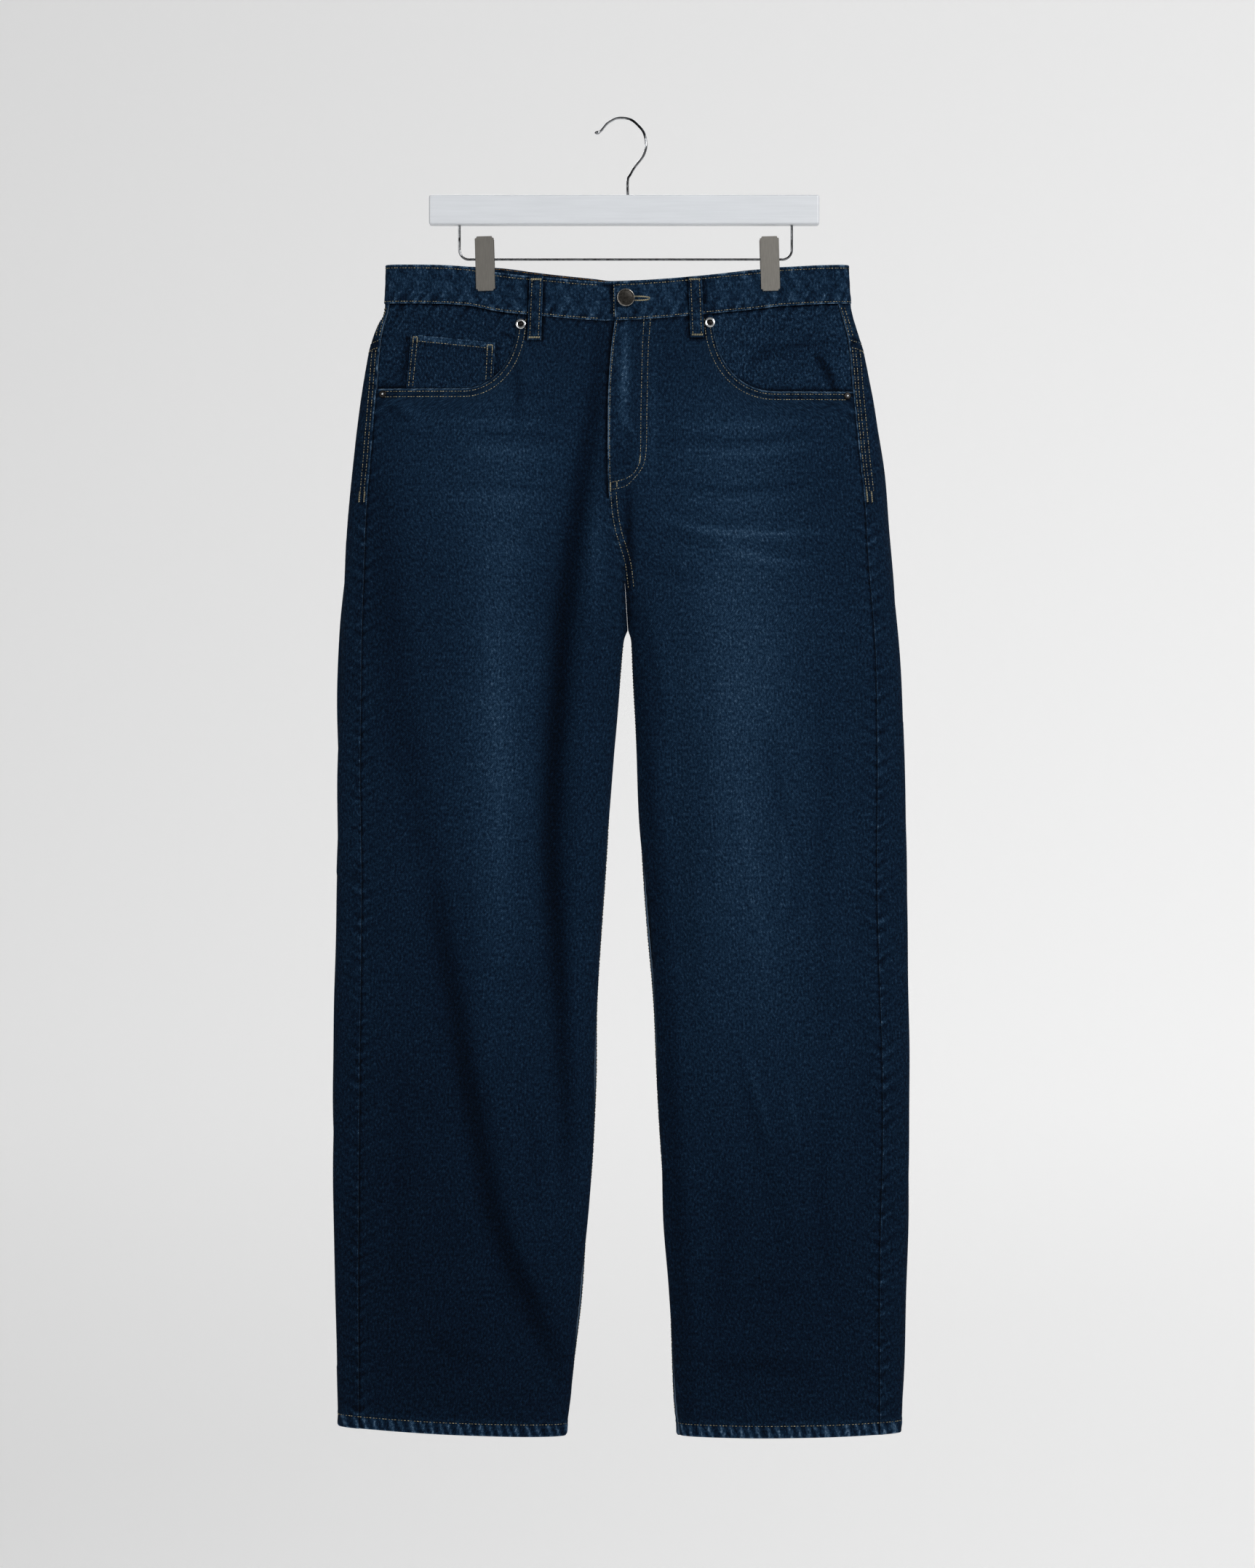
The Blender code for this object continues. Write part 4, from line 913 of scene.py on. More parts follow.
def roped_hem(lift, worn, across, to_hem):
    """Hem's turned fold, its stitch groove with painted shade, the slanted ropes that rub pale,
    and a darker line along the fold's edge.
    """
    near = np.clip(1 - (to_hem - HEM_ROW + 0.8) / 2.5, 0, 1)
    rope = np.sin(across * 0.70 + to_hem * 0.22 + 0.9 * np.sin(across * 0.11)
                  + 0.5 * np.sin(across * 0.31 + to_hem * 0.2))
    lift = (lift + near * 0.35 * rope * np.clip(to_hem / 4, 0, 1) - 0.8 * bump(to_hem, 0.9)
            - 0.35 * bump(to_hem - HEM_ROW, 1.0) + 0.5 * ease((HEM_HEIGHT + 1.0 - to_hem) / 2.5))
    worn = (worn + near * (0.52 * (0.5 + 0.5 * rope) ** 2 + 0.01) - 0.20 * bump(to_hem, 1.0)
            + 0.10 * bump(to_hem - HEM_ROW - 2.3, 1.6) - 0.16 * bump(to_hem - HEM_ROW, 0.9))
    return lift, worn


def back_panel(side, fine):
    """Back of one leg, wrapped round the outer edge onto the front face."""
    shares = share_columns(side, 72.0, LAST_TURN, 560.0, 12.0, 1.3 * fine, 3.2 * fine)
    top = (yoke_drop(shares) + SEAM / 2)[:, None]
    bottom = hem_drop(skin(side, rear_turn(side, shares, 1200.0), 1200.0)[0][..., 0])[:, None]
    upper = top + np.linspace(0, 14, int(14 / (1.4 * fine)) + 1)[:-1]
    middle = mix(top + 14.0, bottom - 20.0, np.linspace(0, 1, int(964 / (3.4 * fine))))
    drop = np.concatenate([upper, middle, hem_rows(bottom, fine)], axis=1)
    turn = rear_turn(side, shares[:, None], drop)
    base, _ = skin(side, turn, drop)
    from_first, to_last, from_top, to_hem = edge_runs(base)
    across = base[..., 0]
    along = run_lengths(base[:, :1], 0)[0]
    swell = (pucker(along, from_top, 0.3, 9.0) + pucker(drop, from_first, 0.35, 9.0)
             + pucker(drop, to_last, 0.25, 7.0))
    hip = np.where(drop < 362, from_first, FAR)
    lift = (sewn_edge(from_top, (1.6, 8.4), 0.5) + sewn_edge(hip, SIDE_ROWS[side], 0.45) + swell
            + 0.35 * bump(from_first - 1.2, 1.0) * ease((drop - 355) / 10)
            + sewn_edge(np.where(drop > CROTCH_DROP, to_last, FAR), (1.8, 7.0), 0.35))
    if side == "left":
        lift += sewn_edge(np.where(drop < CROTCH_DROP, to_last, FAR), (1.8, 7.0), 0.4)
    # fading, less painted shade in the creases' valleys and the stitch grooves
    worn = (by_face(turn <= 90, fade_and_shade_at, across, drop) + row_shade(hip, SIDE_ROWS[side])
            + row_shade(from_top, (1.6, 8.4)) + PALE_CRESTS * swell)
    lift, worn = roped_hem(lift, worn, across, to_hem)
    outer, inner = leg_shell(side, turn, drop, lift, to_last, to_hem)
    rim = np.minimum(np.where(drop < 362, from_first, from_first + 0.8), to_hem)
    weave = weave_of(sign_of(side) * from_first, drop)
    return outer, inner, weave, worn, np.minimum(rim, from_top)


def weave_of(along, down):
    """Weave's own coordinates in millimetres."""
    return np.stack(np.broadcast_arrays(along, down), -1)


def back_yoke(side, fine):
    """Yoke of one side, between the waist seam and the back panel."""
    shares = share_columns(side, 82.0, LAST_TURN, 190.0, 10.0, 1.4 * fine, 2.8 * fine)
    turn = rear_turn(side, shares, waist_seam("front", seam_across(side, 172.0)))
    across = skin(side, turn, 172.0)[0][..., 0]
    top = (by_face(turn <= 90, waist_seam, across) + SEAM / 2)[:, None]
    bottom = (yoke_drop(shares) - SEAM / 2)[:, None]
    drop = mix(top, bottom, np.linspace(0, 1, int(30 / fine))[None])
    turn = rear_turn(side, shares[:, None], drop)
    base, _ = skin(side, turn, drop)
    from_first, to_last, from_top, to_low = edge_runs(base)
    along = run_lengths(base[:, :1], 0)[0]
    swell = pucker(along, from_top, 0.3, 9.0) + pucker(along, to_low, 0.3, 8.0)
    swell += pucker(drop, to_last, 0.2)
    outer, out = skin(side, turn, drop, swell + sewn_edge(from_first, (1.6, 4.8), 0.45))
    # painted shadow lines under the waist seam and along the yoke's lower seam, and beside the
    # belt loops
    worn = (0.03 + PALE_CRESTS * swell + loop_shade("back", outer[..., 0], drop) * (turn > 90)
            - 0.26 * bump(from_top, 1.7) - 0.3 * bump(to_low, 1.4))
    weave = weave_of(sign_of(side) * from_first, drop)
    return outer, outer - out * WALL, weave, worn, from_first + 0.2


def pocket_facing(side, fine):
    """Cloth behind the pocket mouth, tucked under the front panel's edge."""
    towards = sign_of(side)
    run = np.linspace(0, 1, int(48 / fine))
    low_across, low_drop = mouth_curve(side, mix(FACING_START, 1.0, run), FACING_TUCK)
    end = seam_across(side, waist_seam("front", seam_across(side, 172.0)))
    start = mouth_curve(side, FACING_START, FACING_TUCK)[0]
    top_across = mix(start, end - towards * SEAM, run)
    top_drop = waist_seam("front", top_across) + SEAM / 2
    steps = np.linspace(0, 1, int(40 / fine))[None]
    drop = mix(top_drop[:, None], low_drop[:, None], steps)
    across = mix(top_across[:, None], low_across[:, None], steps)
    across[-1] = seam_across(side, drop[-1]) - towards * SEAM
    swell = 0.35 * np.sin(across * 0.19 + drop * 0.11) + 0.25 * np.sin(across * 0.08 - drop * 0.23)
    outer, out = on_face("front", across, drop, FACING_LIFT + 0.5 * np.clip(swell, -1, 0.6))
    from_top, to_low = run_lengths(outer, 1)
    # painted shadow under the pocket mouth's edge and under the waist seam
    worn = (0.05 * swell - 0.4 * bump(to_low - FACING_TUCK, 3.0) - 0.25 * bump(from_top, 2)
            + 0.20 * pucker(across, from_top, 1.0, 9.0) - (0.05 if side == "right" else 0.0))
    for line, width, amount in FACING_SHADES[side]:
        worn -= amount * bump(line_distance(across, drop, line)[0], width)
    weave = weave_of(across, drop)
    return outer, outer - out * POCKET_WALL, weave, worn, np.full(drop.shape, FAR)


def coin_pocket(fine):
    """Small pocket on the right facing; its foot runs into the pocket mouth's edge."""
    run = graded(1.0, 0.09, 0.016 * fine, 0.03 * fine)[:, None]
    top_across, top_drop = (mix(*ends, run) for ends in zip(*COIN_TOP))
    low_across = mix(*COIN_BOTTOM, run)
    low_drop = mouth_drop("right", low_across) - 0.8
    steps = np.append(np.linspace(0, 0.2, 8), np.linspace(0.2, 1, int(20 / fine))[1:])
    across = mix(top_across, low_across, steps)
    drop = mix(top_drop, low_drop, steps)
    base, _ = on_face("front", across, drop, COIN_LIFT + POCKET_WALL)
    from_first, to_last, from_top, _ = edge_runs(base)
    lift = (0.6 * sewn_edge(from_first, (1.9, 5.7), 0.5) + 0.6 * sewn_edge(to_last, (2.4, 7.1))
            + 0.5 * sewn_edge(from_top, (5.6,)) + pucker(across, from_top, 0.12))
    outer, out = on_face("front", across, drop, COIN_LIFT + POCKET_WALL + lift)
    inner, _ = on_face("front", across, drop, COIN_LIFT)
    # paler along the top edge and darker in a line just below the turned top, with painted shade
    # in the stitch grooves
    worn = (0.22 * bump(from_top - 3, 3.4) - 0.05 + row_shade(from_first, (1.9, 5.7))
            + row_shade(to_last, (2.4, 7.1)) - 0.14 * bump(from_top - 7.2, 2.0))
    rim = np.minimum(np.minimum(from_first, to_last), from_top) + 0.7
    return outer, inner, weave_of(across, drop), worn, rim


def back_pocket(side, fine):
    """Plain patch pocket with a pointed foot on the back panel."""
    run = graded(1.0, 0.08, 0.0095 * fine, 0.02 * fine)[:, None]
    bottom = POCKET_LOW_DROP + POCKET_POINT * (1 - np.abs(2 * run - 1))
    down = graded(1.0, 0.09, 0.01 * fine, 0.021 * fine)[None]
    drop = mix(POCKET_TOP_DROP, bottom, down)
    across = pocket_across(side, run, down, drop)
    lift = LAYER_GAP + 0.2 + POCKET_WALL
    base, _ = on_face("back", across, drop, lift)
    from_first, to_last, from_top, to_low = edge_runs(base)
    edge = np.minimum(np.minimum(from_first, to_last), to_low)
    shape = (sewn_edge(edge, (1.8, 8.0), 0.4) + 0.6 * sewn_edge(from_top, (9.5,), 0.4)
             + pucker(across + drop, edge, 0.2, 6.0))
    outer, out = on_face("back", across, drop, lift + np.maximum(shape, -0.5))
    inner, _ = on_face("back", across, drop, LAYER_GAP + 0.2)
    # fading, less painted shade in the creases' valleys and the stitch grooves
    worn = (fade_and_shade_at("back", across, drop) + 0.06 * bump(from_top - 5, 5)
            + row_shade(edge, (1.8, 8.0)))
    return outer, inner, weave_of(-across, drop), worn, np.minimum(edge, from_top)


def band_line():
    """Waistband's line round the waist from end to end: its columns on the left half, their
    turns and their lifts."""
    under = turn_at("left", "front", np.linspace(BAND_LAP_TO, BAND_LAP_FROM + 3, 16), 150.0)
    right = np.linspace(-76, 268, 260)
    over = np.append(np.linspace(268, -82, 260), turn_at("left", "front", BAND_LAP_FROM, 150.0))
    lifts = np.where(over < 60, band_lift(skin("left", over, 150.0)[0][:, 0]), 0)
    lifts[-1] = BAND_WALL + LAYER_GAP
    turns = np.concatenate([under, right, over])
    place = np.arange(len(turns))
    is_left = (place < len(under)) | (place >= len(under) + len(right))
    return is_left, turns, np.append(np.zeros(len(under) + len(right)), lifts)


def by_side(is_left, turn, drop, lift):
    """Points and normals of columns that lie on the left or the right half."""
    shape = np.broadcast_shapes(turn.shape, drop.shape, np.shape(lift))
    full = [np.broadcast_to(value, shape) for value in (turn, drop, lift)]
    points, outs = np.zeros((*shape, 3)), np.zeros((*shape, 3))
    for pick, side in ((is_left, "left"), (~is_left, "right")):
        points[pick], outs[pick] = skin(side, *(value[pick] for value in full))
    return points, outs


def waistband():
    """One strip round the waist, whose left end laps over its right end in front."""
    is_left, turns, lifts = band_line()
    turn = turns[:, None]
    across = by_side(is_left, turn, np.array([[150.0]]), 0.0)[0][..., 0]
    top = by_face(turn <= 90, band_top, across)
    steps = graded(1.0, 0.12, 0.03, 0.06)[None]
    drop = top + (BAND_HEIGHT - SEAM / 2) * steps
    level = lifts[:, None] + BAND_PROUD
    base, _ = by_side(is_left, turn, drop, level)
    along = run_lengths(base[:, 9:10], 0)[0]
    from_top, to_low = run_lengths(base, 1)
    to_end = run_lengths(base, 0)[1]
    swell = pucker(along, from_top, 0.24, 10.0) + pucker(along + 40, to_low, 0.34, 12.0)
    shape = (0.8 * sewn_edge(from_top, (3.2,), 0.3) + 0.7 * sewn_edge(to_low, (1.9,), 0.35)
             + 0.7 * sewn_edge(to_end, (2.0,), 0.3) + swell)
    diagonal = 0.10 * np.sin(along * 0.45 + from_top * 0.35) + 0.08 * np.sin(along * 0.27 + 1)
    clamp = np.zeros(along.shape)
    for centre in CLIPS.values():
        clamp += 1 - ease((np.abs(across - centre) - 9.5) / 8)
    shape = (shape + diagonal) * (1 - np.clip(clamp, 0, 1))
    outer, out = by_side(is_left, turn, drop, level + np.clip(shape, -0.7, 0.5))
    inner, _ = by_side(is_left, turn, drop, level - BAND_WALL)
    front = np.broadcast_to(turn <= 90, across.shape)
    under = np.arange(len(turns))[:, None] < len(turns) / 2
    # painted shade beside the belt loops and in the stitch grooves, and painted shadow on the
    # under end beside the lapped end's edge
    worn = (0.10 + 0.5 * diagonal + PALE_CRESTS * swell + by_face(front, loop_shade, across, drop)
            + row_shade(from_top, (3.2,)) + 0.6 * row_shade(to_low, (1.9,))
            - 0.45 * bump(across - BAND_LAP_FROM + 1.2, 1.8) * under * front)
    rim = np.minimum(np.minimum(from_top, to_low + 0.3), to_end)
    return outer, inner, weave_of(-along, drop), worn, rim, 0.0


def loop_lift(top, seam, bottom, drop):
    """Height of a belt loop's inner face over the skin, bowed out over the waistband."""
    clear = BAND_PROUD + LAYER_GAP
    rows = ((top, clear), (top + 9, clear), (mix(top, seam, 0.55), clear + LOOP_BOW),
            (seam - 5, clear + 0.2), (seam + 3, clear), (seam + 9, LAYER_GAP + 0.4),
            (bottom, LAYER_GAP + 0.1))
    return read_curve(rows, drop)


def belt_loop(face, top_across, low_across, top, bottom):
    """Folded strip over the waistband, sewn down at both ends."""
    seam = float(waist_seam(face, top_across))
    edge = np.array([-0.5, -0.47, -0.42, -0.34, -0.22, -0.08, 0.08, 0.22, 0.34, 0.42, 0.47,
                     0.5])[:, None]
    drop = np.linspace(top, bottom, 46)[None]
    across = mix(top_across, low_across, (drop - top) / (bottom - top)) + edge * LOOP_WIDTH
    low = loop_lift(top, seam, bottom, drop) + 0 * edge
    side = (0.5 - np.abs(edge)) * LOOP_WIDTH
    end = np.minimum(drop - top, bottom - drop)
    shape = -0.9 * bump(side, 0.55) - 0.3 * bump(side - 2.4, 0.6) + 0.15 * bump(side - 5, 2.0)
    shape = shape - 0.6 * bump(end, 0.8) - 0.35 * bump(end - 2.6, 1.6)
    outer, _ = on_face(face, across, drop, low + LOOP_WALL + shape)
    inner, _ = on_face(face, across, drop, low + 0.25 * bump(side, 0.6))
    worn = 0.05 + 0.05 * bump(side, 1.0) + 0.06 * np.sin(drop * 0.7 + side) + 0.04 * bump(end, 2)
    worn = worn + row_shade(side, (2.4,))
    facing = 1 if face == "front" else -1
    rim = side + 0.9 + 0 * drop
    return outer, inner, weave_of(facing * across, drop), worn, rim, 0.2


class Thread:
    """Collects stitches and turns them into one mesh of thread."""

    def __init__(self, pitch, thickness):
        self.pitch = pitch
        self.thickness = thickness
        self.stitches = []

    def add(self, starts, ends, outs, size=1.0):
        """Stitches from starts to ends on a cloth with these normals."""
        self.stitches.append((starts, ends, outs, np.full(len(starts), size)))

    def row(self, points, outs, pitch=None, cover=0.64):
        """Row of stitches along a line on the cloth."""
        pitch = pitch or self.pitch
        run = run_along(points)
        count = max(int(run[-1] / pitch), 1)
        at = np.arange(count) * run[-1] / count + 0.12 * pitch * np.sin(np.arange(count) * 2.3)
        at = np.clip(at, 0, run[-1] - pitch * cover)
        self.add(*(np.stack([np.interp(at + offset, run, values[:, i]) for i in range(3)], 1)
                   for values, offset in ((points, 0), (points, cover * pitch), (outs, 0))))

    def face_row(self, face, line, lift=0.05, pitch=None, cover=0.64):
        """Row along a line of across and drop on the front or the back."""
        across, drop = smooth_line(line)
        self.row(*on_face(face, across, drop, lift), pitch=pitch, cover=cover)

    def edge_rows(self, face, edge, drops, aways, **settings):
        """Rows at distances across from an edge whose place across is known at these drops."""
        for away in aways:
            self.face_row(face, np.stack([edge + away, drops], 1), **settings)

    def bartack(self, face, line, width, lift, pitch=0.55):
        """Dense zigzag over a short line."""
        across, drop = smooth_line(line, 0.25)
        run = run_along(np.stack([across, drop], 1))
        count = max(int(run[-1] / pitch), 2)
        at = np.linspace(0, run[-1], count + 1)
        x, y = np.interp(at, run, across), np.interp(at, run, drop)
        side = np.where(np.arange(count + 1) % 2 == 0, 0.5, -0.5) * width
        points, outs = on_face(face, *beside_line(x, y, side), lift)
        self.add(points[:-1], points[1:], outs[:-1], 0.9)

    def build(self, name):
        """Mesh of all stitches: short rounded strands whose ends dive into the cloth."""
        start, end, out, size = (np.concatenate(part) for part in zip(*self.stitches))
        along = end - start
        length = np.maximum(np.linalg.norm(along, axis=1, keepdims=True), 1e-6)
        along = along / length
        side = unit(np.cross(along, out))
        up = np.cross(side, along)
        radius = self.thickness / 2 * size[:, None]
        rings = []
        for at, swell, rise in ((0.0, 0.35, -0.75), (0.2, 1.0, 0.35), (0.8, 1.0, 0.35),
                                (1.0, 0.35, -0.75)):
            centre = start + along * length * at + up * radius * rise
            for spoke in range(5):
                angle = 2 * math.pi * spoke / 5
                rings.append(centre + radius * swell * (side * math.cos(angle)
                                                        + up * math.sin(angle)))
        index = np.arange(20).reshape(4, 5)
        after = np.roll(index, -1, axis=1)
        quads = np.stack([index[:-1], after[:-1], after[1:], index[1:]], -1).reshape(-1, 4)
        quads = np.append(quads, [(0, 4, 3, 2), (15, 16, 17, 18)], axis=0)
        ends = np.array([(0, 2, 1), (15, 18, 19)])
        each = np.arange(len(start))
        offset = each[:, None, None] * 20
        thing = mesh_object(name, np.stack(rings, 1).reshape(-1, 3) * MM,
                            (quads + offset).reshape(-1, 4), (ends + offset).reshape(-1, 3))
        tone = np.repeat(0.5 + 0.5 * np.sin(each * 1.7 + 0.3 * each**0.5), 20)
        give_values(thing, "tone", tone)
        return thing


def beside_line(across, drop, away):
    """Line at a distance beside another."""
    tx, ty = np.gradient(across), np.gradient(drop)
    size = np.hypot(tx, ty)
    return across - ty / size * away, drop + tx / size * away


def smooth_line(line, step=1.0):
    """Dense across and drop values along a line, rounded at its corners."""
    line = np.array(line, float)
    run = run_along(line)
    at = np.linspace(0, run[-1], max(int(run[-1] / step), 2) + 1)
    rows = np.column_stack([run, line])
    return read_curve(rows, at, 1), read_curve(rows, at, 2)


def band_stitches(thread):
    """Rows round the waistband, down its lapped end and round the buttonhole."""
    is_left, turns, lifts = band_line()
    turn = turns[17:, None]
    is_left = is_left[17:]
    level = lifts[17:, None] + BAND_PROUD + 0.05
    across = by_side(is_left, turn, np.array([[150.0]]), 0.0)[0][..., 0]
    top = by_face(turn <= 90, band_top, across)
    for down in (3.2, BAND_HEIGHT - 2.0):
        points, outs = by_side(is_left, turn, top + down, level)
        keep = slice(12, -1)
        thread.row(points[keep, 0], outs[keep, 0])
    lapped = BAND_PROUD + BAND_WALL + LAYER_GAP + 0.05
    x = BAND_LAP_FROM + 2.0
    edge = float(band_top("front", x))
    thread.face_row("front", ((x, edge + 3.2), (x, edge + BAND_HEIGHT - 2)), lapped)
    for side in (-1, 1):
        hole = [(9.4 + t * 14.0, BUTTON[1] + 0.6 + side * 1.9 * (1 - 0.55 * t**3))
                for t in np.linspace(0, 1, 6)]
        thread.bartack("front", hole, 1.5, lapped + 0.1, 0.5)
    thread.bartack("front", ((23.4, BUTTON[1] - 0.4), (23.4, BUTTON[1] + 1.6)), 1.6, lapped + 0.1)


def chain_inside(thread):
    """Chain stitch on the inner face of the rear waistband, which shows over the front."""
    across = np.linspace(-190, 186, 400)
    drop = band_top("back", across) + 1.3
    points, outs = on_face("back", across, drop, BAND_PROUD - BAND_WALL - 0.15)
    thread.row(points, -outs, pitch=2.4, cover=0.85)


def fly_stitches(thread):
    """Fly's edge row, its two curved rows, bartacks and the seam below it."""
    drops = np.linspace(189, 352, 40)

    def lift(across, drop):
        return fly_lift(across, drop) + 0.05

    centre = read_curve(CENTRE["front"], drops)
    thread.edge_rows("front", centre, drops, (1.9,), lift=lift, pitch=2.5)
    outer = ((24.5, 188), (22.4, 216), (21.1, 272), (20.4, 311), (18.4, 324), (14.9, 331),
             (10.2, 337), (2.0, 345), (-5.0, 347.2), (-12.4, 348.6))
    inner = ((18.4, 188), (17.0, 216), (15.6, 272), (15.0, 317), (13.6, 325), (9.6, 332.4),
             (4.8, 336.6), (-1.0, 339.2), (-6.0, 340.4), (-12.4, 342))
    thread.face_row("front", outer, lift)
    thread.face_row("front", inner, lift)
    for x0, y0, x1, y1, width in ((15, 317, 14.2, 324, 1.3), (-12.8, 341.6, -12.8, 350, 1.4),
                                  (-6.8, 340.8, -6.8, 346.4, 1.1)):
        thread.bartack("front", ((x0, y0), (x1, y1)), width, lift)
    seam = ((-12.4, 352), (-10.9, 370), (-7.6, 388), (-2.9, 403), (1.2, 418), (4.0, 440))
    thread.face_row("front", seam, lift, pitch=2.6)
    thread.face_row("front", [(x + 5.0, y - 1.0) for x, y in seam], lift, pitch=2.6)


def mouth_stitches(thread):
    """Two rows under each pocket mouth, and the coin pocket's rows and bartacks."""
    for side in SIDES:
        curve = mouth_curve(side, np.linspace(0.02, 0.985, 120))
        for away in MOUTH_ROWS:
            line = np.stack(beside_line(*curve, sign_of(side) * away), 1)
            keep = line[:, 1] > waist_seam("front", line[:, 0]) + 1
            thread.face_row("front", line[keep][::3])
    level = COIN_LIFT + POCKET_WALL + 0.05
    (x0, y0), (x1, y1) = COIN_TOP
    thread.face_row("front", ((x0 + 7, y0 + 6.2), (x1 - 8, y1 + 4.9)), level, pitch=2.6)
    for top, head, low, aways in ((x0, y0, COIN_BOTTOM[0], (1.9, 5.7)),
                                  (x1, y1, COIN_BOTTOM[1], (-2.4, -7.1))):
        for away in aways:
            foot = float(mouth_drop("right", low + away)) - 1.5
            thread.face_row("front", ((top + away, head + 5.5), (low + away, foot)), level)
        head += 2.2
        thread.bartack("front", [(top + away, head) for away in aways], 1.5, level)
        for away in aways:
            thread.bartack("front", ((top + away, head), (top + away, head + 5.5)), 1.1, level)


def side_stitches(thread):
    """Rows beside the side seams at the hip, their bartacks, and the yoke's rows in front."""
    for side in SIDES:
        towards = sign_of(side)
        for drops, aways in ((np.linspace(YOKE_SIDE_DROP + 11, 350, 40), SIDE_ROWS[side]),
                             (np.linspace(177, YOKE_SIDE_DROP - 2, 10), (1.6, 4.8))):
            thread.edge_rows("front", seam_across(side, drops), drops, towards * np.array(aways))
        for away in (2.6, 7.2):
            line = [(float(seam_across(side, drop)) + towards * away, drop)
                    for drop in (349.0, 354.0, 359.0)]
            thread.bartack("front", line, 1.5, 0.1)
        for down in (1.6, 8.4):
            shares = np.linspace(0.01, 0.985, 160)
            drop = yoke_drop(shares) + SEAM / 2 + down
            points, outs = skin(side, rear_turn(side, shares, drop), drop, 0.05)
            thread.row(points, outs)


def leg_stitches(thread):
    """Rows at the hems and beside the inseams."""
    for side in SIDES:
        turns = np.linspace(FIRST_TURN, LAST_TURN, 700)
        across = skin(side, turns, 1215.0)[0][..., 0]
        drop = hem_drop(across) - HEM_ROW
        points, outs = skin(side, turns, drop, 0.25)
        thread.row(points, outs, pitch=3.0)
        drops = np.linspace(CROTCH_DROP + 14, 1210, 500)
        half = np.abs(side_curve(OUTLINE, side, drops) - inner_edge("back", side, drops)) / 2
        depth = read_curve(DEPTH, drops, 2)
        for away in (1.8, 7.0):
            turn = LAST_TURN - np.degrees(away / np.sqrt(half * depth) * 0.9)
            points, outs = skin(side, turn, drops, 0.05)
            thread.row(points, outs, pitch=3.0)


def rear_stitches(thread):
    """Centre back seam and the back pockets' double rows, hems and bartacks."""
    for drops, aways in ((np.linspace(YOKE_CENTRE_DROP + 10, 470, 60), (1.8, 7.0)),
                         (np.linspace(190, 260, 20), (1.8,))):
        thread.edge_rows("back", inner_edge("back", "left", drops), drops, aways)
    lift = LAYER_GAP + 0.25 + POCKET_WALL
    for side in SIDES:
        for away in (1.8, 8.0):
            line = pocket_line(side, away)
            for first, second in zip(line, line[1:]):
                thread.face_row("back", (first, second), lift)
        ends = [pocket_point(side, share, POCKET_TOP_DROP + 9.5) for share in (0.012, 0.988)]
        thread.face_row("back", ends, lift)
        for share in (0.012, 0.95):
            line = [pocket_point(side, at, POCKET_TOP_DROP + 1.5) for at in (share, share + 0.038)]
            thread.bartack("back", line, 2.0, lift + 0.05)


def pocket_across(side, share, down, drop):
    """Place across on a back pocket, at shares of its width and height."""
    narrow = (POCKET_TOP_WIDTH - POCKET_LOW_WIDTH) / 2
    out = mix(POCKET_TOP_WIDTH * share, narrow + POCKET_LOW_WIDTH * share, down)
    return read_curve(CENTRE["back"], drop) + sign_of(side) * (POCKET_START + out)


def pocket_point(side, share, drop):
    """Place across and drop on a back pocket."""
    down = (drop - POCKET_TOP_DROP) / (POCKET_LOW_DROP - POCKET_TOP_DROP)
    return float(pocket_across(side, share, down, drop)), drop


def pocket_line(side, away):
    """Corners of a stitch row inside a back pocket's sides and foot."""
    inset = away / POCKET_TOP_WIDTH
    top, low = POCKET_TOP_DROP + 2, POCKET_LOW_DROP - away
    foot = POCKET_LOW_DROP + POCKET_POINT - 1.05 * away
    return [pocket_point(side, share, drop) for share, drop in (
        (inset, top), (inset, low), (0.5, foot), (1 - inset, low), (1 - inset, top))]


def loop_stitches(thread):
    """Two rows down each belt loop and bartacks at its ends."""
    for _, face, top_across, low_across, top, bottom in LOOPS:
        seam = float(waist_seam(face, top_across))
        drop = np.linspace(top, bottom, 60)
        rows = np.stack([drop, loop_lift(top, seam, bottom, drop) + LOOP_WALL], 1)

        def lift(across, drop, rows=rows):
            return read_curve(rows, drop)

        for away in (-1, 1):
            offset = away * (LOOP_WIDTH / 2 - 2.4)
            line = ((top_across + offset, top + 3), (low_across + offset, bottom - 3))
            thread.face_row(face, line, lift)
        for x, y in ((top_across, top + 2.4), (low_across, bottom - 2.4)):
            half = LOOP_WIDTH / 2 - 1.2
            thread.bartack(face, ((x - half, y), (x + half, y)), 2.0, lift, 0.6)


def from_bmesh(name, mesh, sharp_angle):
    """Object from a finished bmesh."""
    data = bpy.data.meshes.new(name)
    mesh.to_mesh(data)
    mesh.free()
    return link_object(name, data, sharp_angle)


def lathe(name, profile, segments, size=1.0):
    """Turned closed shape from rows of radius and height in millimetres."""
    angles = np.arange(segments) * 2 * math.pi / segments
    mesh = bmesh.new()
    rings = []
    for radius, height in np.array(profile, float) * size * MM:
        rings.append([mesh.verts.new((radius * math.cos(a), radius * math.sin(a), height))
                      for a in angles[:None if radius else 1]])
    for low, high in zip(rings, rings[1:]):
        for i in range(segments):
            after = (i + 1) % segments
            corners = [low[i % len(low)], low[after % len(low)], high[after % len(high)],
                       high[i % len(high)]]
            unique = list(dict.fromkeys(corners))
            if len(unique) > 2:
                mesh.faces.new(unique)
    bmesh.ops.recalc_face_normals(mesh, faces=mesh.faces[:])
    return from_bmesh(name, mesh, 50)


